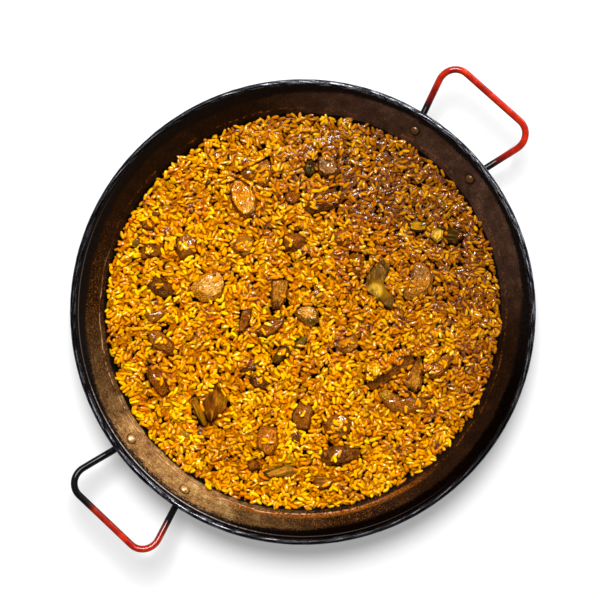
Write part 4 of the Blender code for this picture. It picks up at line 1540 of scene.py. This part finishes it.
def sauce_share(x, y):
    """From 0 to 1: how much brown sauce stands between the grains at a place."""
    toward = (x * SAUCE_SIDE.x + y * SAUCE_SIDE.y) / RIM_RADIUS
    broad = noise.noise(Vector((x, y, 0.3)) / 0.05)
    patch = noise.noise(Vector((x, y, 0.9)) / 0.019) + 0.5 * noise.noise(Vector((x, y, 0.5)) / 0.009)
    from_side = clamp((toward - 0.30 + broad * 0.35) / 0.35)
    from_patch = clamp((patch - 0.10 + 0.4 * toward) / 0.45) * 0.8
    return max(from_side, from_patch)


def core_mesh():
    bm = bmesh.new()
    sauce_layer = bm.verts.layers.float.new("sauce")
    solid_layer = bm.verts.layers.float.new("solid")
    edge = inner_radius(RICE_TOP) - CORE_EDGE
    middle = bm.verts.new((0.0, 0.0, rice_level(0.0, 0.0) - BED_DEPTH))
    rings = []
    for number in range(1, CORE_RINGS + 1):
        radius = edge * number / CORE_RINGS
        ring = []
        for step in range(CORE_STEPS):
            angle = 2 * math.pi * step / CORE_STEPS
            x = radius * math.cos(angle)
            y = radius * math.sin(angle)
            lumps = LUMP_HEIGHT * noise.noise(Vector((x, y, 0.0)) / LUMP_SIZE)
            solid = 1 - hole_share(x, y)
            sauce = sauce_share(x, y)
            height = rice_level(x, y) - BED_DEPTH + lumps + (FILM_DEPTH + SAUCE_DEPTH * sauce) * solid
            vert = bm.verts.new((x, y, height))
            vert[sauce_layer] = sauce
            vert[solid_layer] = solid
            ring.append(vert)
        rings.append(ring)
    for height, radius in FOOT_RINGS:
        ring = []
        for step in range(CORE_STEPS):
            angle = 2 * math.pi * step / CORE_STEPS
            ring.append(bm.verts.new((radius * math.cos(angle), radius * math.sin(angle), height)))
        rings.append(ring)
    bridge(bm, rings)
    fan(bm, rings[0], middle)
    bm.faces.new(rings[-1])
    return bm


def core_finish():
    """Orange film between the grains, brown where the sauce stands high, and painted black shade in the
    holes.
    """
    base = Finish("rice_film", Coat_Roughness=0.05, Coat_IOR=1.8, Specular_IOR_Level=0.0)
    sauce = base.attribute("sauce")
    solid = base.attribute("solid")
    fine = base.noise(0.002, 2.0)
    grit = base.noise(0.0011, 2.0)
    film = base.ramp(fine, [(0.34, 96, 42, 0), (0.52, 168, 88, 0), (0.70, 214, 132, 4)])
    stewed = base.ramp(fine, [(0.34, 44, 18, 6), (0.52, 96, 50, 22), (0.70, 140, 86, 46)])
    colour = base.mix(base.step(sauce, 0.2, 0.8), film, stewed)
    # Painted shade: the holes of the bed, and so the crevices beside the pieces, are painted near black.
    base.set("Base Color", base.mix(base.step(solid, 0.25, 0.85), paint(6, 2, 0), colour))
    base.set("Roughness", 0.5)
    base.set("Coat Weight", sauce * solid * base.step(grit, 0.49, 0.57) * 0.7)
    base.set("Normal", base.bump(fine + grit, 0.0008, 0.9))
    return base.material


core = add_piece("rice_core", core_mesh(), core_finish(), ["rice"])
print("core triangles:", triangles(core.data))

# %% [markdown]
# A cooked grain is a plump spindle, blunt at both ends, a little bent and often split or broken.
# Five shapes of a few dozen faces are enough, because every copy also gets its own size and turn.

# %% Shapes of grain
GRAIN_LENGTH = 0.0082
GRAIN_WIDTH = 0.0036
GRAIN_THICKNESS = 0.0029
GRAIN_KINDS = {
    "plump": dict(blunt=2.6, bend=0.05, waist=0.00, taper=0.05),
    "long": dict(blunt=2.2, bend=0.09, waist=0.00, taper=0.12),
    "bent": dict(blunt=2.5, bend=0.17, waist=0.05, taper=0.08),
    "split": dict(blunt=3.2, bend=0.04, waist=0.14, taper=0.00),
    "broken": dict(blunt=4.5, bend=0.02, waist=0.00, taper=0.22),
}


def grain_source(name, blunt, bend, waist, taper):
    """A unit grain along X, one long, one wide and one thick."""
    bm = bmesh.new()
    bmesh.ops.create_uvsphere(bm, u_segments=6, v_segments=5, radius=1.0,
                              matrix=Matrix.Rotation(math.pi / 2, 4, "Y"))
    for vert in bm.verts:
        along = clamp(vert.co.x, -1.0)
        round_radius = max(math.sqrt(1 - along * along), 1e-6)
        full = (1 - abs(along) ** blunt) ** 0.5
        full *= (1 - waist * math.exp(-(along * 3) ** 2)) * (1 - taper * along)
        vert.co.y = vert.co.y / round_radius * full if abs(along) < 0.999 else 0.0
        vert.co.z = vert.co.z / round_radius * full if abs(along) < 0.999 else 0.0
        vert.co.y += bend * 2 * (1 - along * along)
        vert.co *= 0.5
    return hidden_source(f"grain_{name}", bm)


GRAINS = {name: grain_source(name, **shape) for name, shape in GRAIN_KINDS.items()}
print("triangles in a grain:", triangles(GRAINS["plump"].data))

# %% [markdown]
# Grains scattered at random heights would push through each other. Instead they are dropped one by
# one on the height map: each grain lands on the highest thing under it, tips towards the lower end
# and then becomes part of the map, so grains heap against the pork and stop at the wall. Some are
# pressed in end first, as a spoon leaves them. Grains that end up buried are left out.

# %% Cells under a grain
HEADINGS = 48


def footprint(heading):
    """Cells under a grain at a heading, with their place along it and its half thickness there."""
    reach = int(GRAIN_LENGTH / 2 / CELL) + 1
    offsets = np.arange(-reach, reach + 1)
    columns, rows = np.meshgrid(offsets, offsets)
    along = (columns * math.cos(heading) + rows * math.sin(heading)) * CELL
    across = (-columns * math.sin(heading) + rows * math.cos(heading)) * CELL
    far = (np.abs(2 * along / GRAIN_LENGTH) ** 2.5 + np.abs(2 * across / GRAIN_WIDTH) ** 2)
    inside = far < 1
    thick = GRAIN_THICKNESS / 2 * np.sqrt(1 - far[inside])
    return rows[inside], columns[inside], along[inside], thick


FOOTPRINTS = [footprint(math.pi * index / HEADINGS) for index in range(HEADINGS)]
print("cells under one grain:", len(FOOTPRINTS[0][0]))

# %% Drop one grain
SINK = 0.0007
SOFTNESS = 0.75
PRESSED_SHARE = 0.35
STEEPEST = math.tan(math.radians(34))
LEAN_SPREAD = 0.38
ROLL_SPREAD = 0.35
END_FROM = GRAIN_LENGTH * 0.22
END_APART = GRAIN_LENGTH * 0.62
laid = []
owner = np.full(heights.shape, -1)


def drop(x, y, heading, highest):
    """Let a grain fall at a place. It returns its place and turn, or None if it would stand too high."""
    heading %= math.pi
    rows, columns, along, thick = FOOTPRINTS[int(heading / math.pi * HEADINGS) % HEADINGS]
    rows = rows + int((y + MAP_HALF) / CELL)
    columns = columns + int((x + MAP_HALF) / CELL)
    under = heights[rows, columns]
    front = under[along > END_FROM].max()
    rear = under[along < -END_FROM].max()
    slope = clamp((front - rear) / END_APART, -STEEPEST, STEEPEST) * 0.9
    middle = (under - slope * along + thick * SOFTNESS).max() - SINK
    if highest is not None:
        if random.random() < PRESSED_SHARE:
            pressed = random.gauss(0, LEAN_SPREAD)
            slope += pressed
            middle -= abs(pressed) * GRAIN_LENGTH * 0.10
        if middle > highest:
            return None
    top = middle + slope * along + thick * SOFTNESS
    raised = top > under
    heights[rows[raised], columns[raised]] = top[raised]
    owner[rows[raised], columns[raised]] = len(laid)
    roll = random.gauss(0, ROLL_SPREAD)
    flip = math.pi if random.random() < 0.5 else 0
    return (x, y, middle), (roll, -math.atan(slope), heading + flip)


# %% [markdown]
# The grains are tried at random places in three passes, each a little higher than the one before.
# Neighbours lie roughly alike, the bed has low hills, and its edge is ragged.

# %% Drop the grains
FLOW_SIZE = 0.028
DISORDER = 0.75
HILLS = 0.0016
HILL_SIZE = 0.016
EDGE_GAP = 0.0012
GAP_AT_LEFT = 0.0010
RAGGED = 0.0010
RAGGED_AT_LEFT = 0.0022


def flow(x, y):
    """Neighbouring grains lie roughly alike: a heading that changes slowly over the bed."""
    return math.pi * 2 * noise.noise(Vector((x, y, 4.0)) / FLOW_SIZE)


def edge_radius(x, y):
    """The bed ends against the wall at the right of the picture and a few millimetres short at the left."""
    facing = Vector((x, y, 0.0)).normalized()
    left = clamp(0.5 - 0.6 * facing.dot(RIGHT))
    ragged = clamp(0.5 + noise.noise(facing * 17) + 0.6 * noise.noise(facing * 45))
    return inner_radius(RICE_TOP) - EDGE_GAP - GAP_AT_LEFT * left - (RAGGED + RAGGED_AT_LEFT * left) * ragged


# Each entry: how far over the level a grain may lie, and how many are tried. The first pass also
# fills the holes.
PASSES = [(-0.0020, 20000), (-0.0008, 20000), (0.0003, 22000)]
for number, (above, tries) in enumerate(PASSES):
    for _ in range(tries):
        radius = inner_radius(RICE_TOP) * math.sqrt(random.random())
        angle = random.random() * 2 * math.pi
        x = radius * math.cos(angle)
        y = radius * math.sin(angle)
        if radius > edge_radius(x, y):
            continue
        heading = flow(x, y) + random.gauss(0, DISORDER)
        cell = cell_at(x, y)
        if bare[cell] or (number > 0 and hole_share(x, y) > 0.5):
            continue
        hill = HILLS * noise.noise(Vector((x, y, 7.0)) / HILL_SIZE)
        limit = level[cell] + above + heap[cell] + hill
        grain = drop(x, y, heading, limit)
        if grain:
            laid.append(grain)
print("grains in the bed:", len(laid))

# %% Loose grains on the pieces and the wall
TOP_SHARE = 0.85
STRAY_ON_WALL = (208, 487)
STRAY_HEIGHT = 0.026
STRAY_TURN = 1.3
FEWEST_CELLS = 5
for name, (_, _, count) in LOOKS.items():
    highest = max(standing[cell] for cell in covered_cells[name])
    cells = [cell for cell in covered_cells[name] if standing[cell] > TOP_SHARE * highest]
    for _ in range(count):
        row, column = cells[random.randrange(len(cells))]
        laid.append(drop(centres[column], centres[row], random.random() * math.pi, None))
stray = from_picture(*STRAY_ON_WALL, STRAY_HEIGHT)
laid.append(drop(stray.x, stray.y, math.atan2(stray.y, stray.x) + STRAY_TURN, None))
seen = np.bincount(owner[owner >= 0], minlength=len(laid))
laid = [grain for grain, cells in zip(laid, seen) if cells >= FEWEST_CELLS]
print("grains that can be seen:", len(laid))

# %% [markdown]
# Rice cooked with saffron is never one yellow: some grains are pale, some amber, and some have
# browned in the fat. Each grain carries a random tint. Over the whole pan the colour also drifts,
# from bright yellow at the lower left of the picture to brown and glossy at the upper right. The
# brown is partly sauce; the bright lower left is partly painted light, the wall's reflection painted in.

# %% Finish of the grains


def rice_finish():
    rice = Finish("saffron_rice", Coat_Roughness=0.05, Coat_IOR=1.8, Specular_IOR_Level=0.0)
    tint = rice.attribute("tint")
    patch = rice.noise(0.035, 3.0)
    fine = rice.noise(0.0016, 2.0)
    # Painted light: the lower left is painted brighter yellow, partly for the wall's reflection.
    brown = rice.step(rice.along(rice.place, SAUCE_SIDE) + (patch - 0.5) * 0.16, -0.10, 0.22)
    yellow = rice.ramp(tint, [
        (0.0, 186, 92, 0), (0.35, 222, 130, 0),
        (0.75, 246, 176, 0), (1.0, 255, 202, 8)])
    amber = rice.ramp(tint, [
        (0.0, 96, 52, 6), (0.4, 162, 102, 8),
        (0.8, 206, 148, 14), (1.0, 240, 186, 44)])
    colour = rice.mix(brown, yellow, amber)
    colour = rice.mix(rice.step(fine, 0.56, 0.72) * 0.5, colour, paint(176, 92, 6))
    clump = rice.noise(0.014, 3.0, rough=0.6)
    colour = rice.mix(rice.step(patch, 0.50, 0.66) * 0.45, colour, paint(186, 96, 2))
    colour = rice.mix(rice.step(clump, 0.54, 0.68) * 0.58, colour, paint(158, 78, 2))
    # Painted shade: grains lying deeper are painted darker, partly sauce and partly the shade of the grains
    # above.
    colour = rice.mix(rice.attribute("deep") * 0.70, colour, paint(74, 32, 0))
    rice.set("Base Color", colour)
    rice.set("Roughness", 0.34 + fine * 0.2)
    shine = rice.step(rice.attribute("gloss"), 0.54, 0.80)
    rice.set("Coat Weight", shine * (1 - rice.attribute("deep")))
    rice.set("Normal", rice.bump(fine, 0.0003, 0.35))
    return rice.material


# %% Lay the grains
saffron = rice_finish()
kinds = list(GRAIN_KINDS)
SHARES = [0.22, 0.22, 0.20, 0.18, 0.18]
BROKEN_LENGTH = 0.62
UNEVENNESS = 0.19
FIRST_SEED = 30
DEEP_START = 0.0004
DEEP_RANGE = 0.0026
TINT_MIDDLE = 0.64
TINT_SPREAD = 0.15
TINT_PATCH_SIZE = 0.011
choice = rng.choice(len(kinds), size=len(laid), p=SHARES)
places = np.array([grain[0] for grain in laid])
deep = []
patches = []
for x, y, z in places:
    # Painted shade: how deep a grain lies, for the finish to darken it.
    deep.append(clamp((rice_level(x, y) - DEEP_START - z) / DEEP_RANGE))
    patch = noise.noise(Vector((x, y, 1.0)) / TINT_PATCH_SIZE)
    patches.append(0.45 * patch - 0.35 * sauce_share(x, y))
deep = np.array(deep)
tints = np.clip(rng.normal(TINT_MIDDLE, TINT_SPREAD, len(laid)) + np.array(patches), 0, 1)
gloss = rng.random(len(laid))
total = 0
for number, kind in enumerate(kinds):
    mine = np.flatnonzero(choice == number)
    short = BROKEN_LENGTH if kind == "broken" else 1.0
    size = (GRAIN_LENGTH * short, GRAIN_WIDTH, GRAIN_THICKNESS)
    turns = [laid[index][1] for index in mine]
    own_values = {"tint": tints[mine], "deep": deep[mine], "gloss": gloss[mine]}
    piece = lay_copies(
        f"rice_{kind}", places[mine], turns, [size] * len(mine), GRAINS[kind], saffron,
        unevenness=UNEVENNESS, seed=FIRST_SEED + number, extra=own_values)
    total += triangles(piece.data)
    print(piece.name, len(mine), "grains", triangles(piece.data), "triangles")
print("triangles in all grains:", total)

# %% [markdown]
# Between the large pieces lie small ones: slivers of skin, bits of leaf and brown crumbs. The few
# that can be told apart are placed from the photograph, the rest are strewn from the fixed seed.
# Each is a small noise-shaped ball pressed flat, and it rests on the height map like a grain.

# %% Scraps and crumbs
# Each entry: column, row, length and width in pixels, turn over the level in degrees, colour.
SCRAPS = [
    (347, 121, 11, 7, 20, TAN), (389, 193, 16, 4, 25, MAROON), (136, 243, 10, 7, 60, OLIVE),
    (155, 316, 18, 10, 10, BROWN), (186, 434, 12, 4, -35, YELLOW), (296, 438, 10, 8, 80, DARK),
    (251, 368, 22, 5, 15, MAROON), (156, 214, 8, 5, 0, DARK), (408, 392, 10, 4, -30, SHADE),
    (417, 396, 12, 4, -10, OLIVE), (429, 397, 10, 4, 20, SHADE), (443, 228, 12, 4, -20, SHADE),
    (425, 224, 10, 4, 15, OLIVE), (460, 236, 9, 5, 40, DARK), (383, 264, 9, 4, -70, SHADE),
]
CRUMBS = 34
CRUMB_REACH = 0.185
CRUMB_LENGTHS = (0.0030, 0.0075)
SCRAP_WIDEST = 0.004
SCRAP_FLATNESS = 0.7
SCRAP_LIFT = 0.0003
CRUMB_COLOURS = [RED, BROWN, DARK, MAROON, TAN]


def add_scrap(bm, place, length, width, heading, colour):
    """Add one flat lump to a bmesh, resting on whatever the height map holds at its place."""
    row, column = cell_at(place.x, place.y)
    reach = max(1, int(width / 2 / CELL))
    under = heights[row - reach:row + reach + 1, column - reach:column + reach + 1]
    base = float(np.median(under))
    along = Vector((math.cos(heading), math.sin(heading), 0.0))
    across = Vector((-along.y, along.x, 0.0))
    ball = bmesh.ops.create_icosphere(bm, subdivisions=3, radius=0.5)
    for vert in ball["verts"]:
        unit = vert.co.copy()
        ragged = 1 + 0.5 * noise.noise(unit * 2.2 + place * 900) + 0.25 * noise.noise(unit * 5 + place * 900)
        offset = along * unit.x * length + across * unit.y * width
        vert.co = place + offset * ragged
        vert.co.z = base + unit.z * min(width, SCRAP_WIDEST) * SCRAP_FLATNESS * ragged + SCRAP_LIFT
        vert[own_layer] = unit * length + place * 20
        vert[flesh_layer] = paint(*colour)


scraps_bm = bmesh.new()
own_layer = scraps_bm.verts.layers.float_vector.new("own")
flesh_layer = scraps_bm.verts.layers.float_color.new("flesh")
pixel = FRAME_WIDTH / PIXELS
for column, row, length, width, turn, colour in SCRAPS:
    heading = math.atan2(RIGHT.y, RIGHT.x) + math.radians(turn)
    place = from_picture(column, row, RICE_TOP)
    add_scrap(scraps_bm, place, length * pixel, width * pixel, heading, colour)
for _ in range(CRUMBS):
    radius = CRUMB_REACH * math.sqrt(random.random())
    angle = random.random() * 2 * math.pi
    place = Vector((radius * math.cos(angle), radius * math.sin(angle), 0.0))
    length = random.uniform(*CRUMB_LENGTHS)
    width = length * random.uniform(0.35, 0.8)
    add_scrap(scraps_bm, place, length, width, random.random() * math.pi, random.choice(CRUMB_COLOURS))
scraps = add_piece("scraps", scraps_bm, finishes["pork"])
print("scraps:", len(SCRAPS) + CRUMBS, "triangles:", triangles(scraps.data))
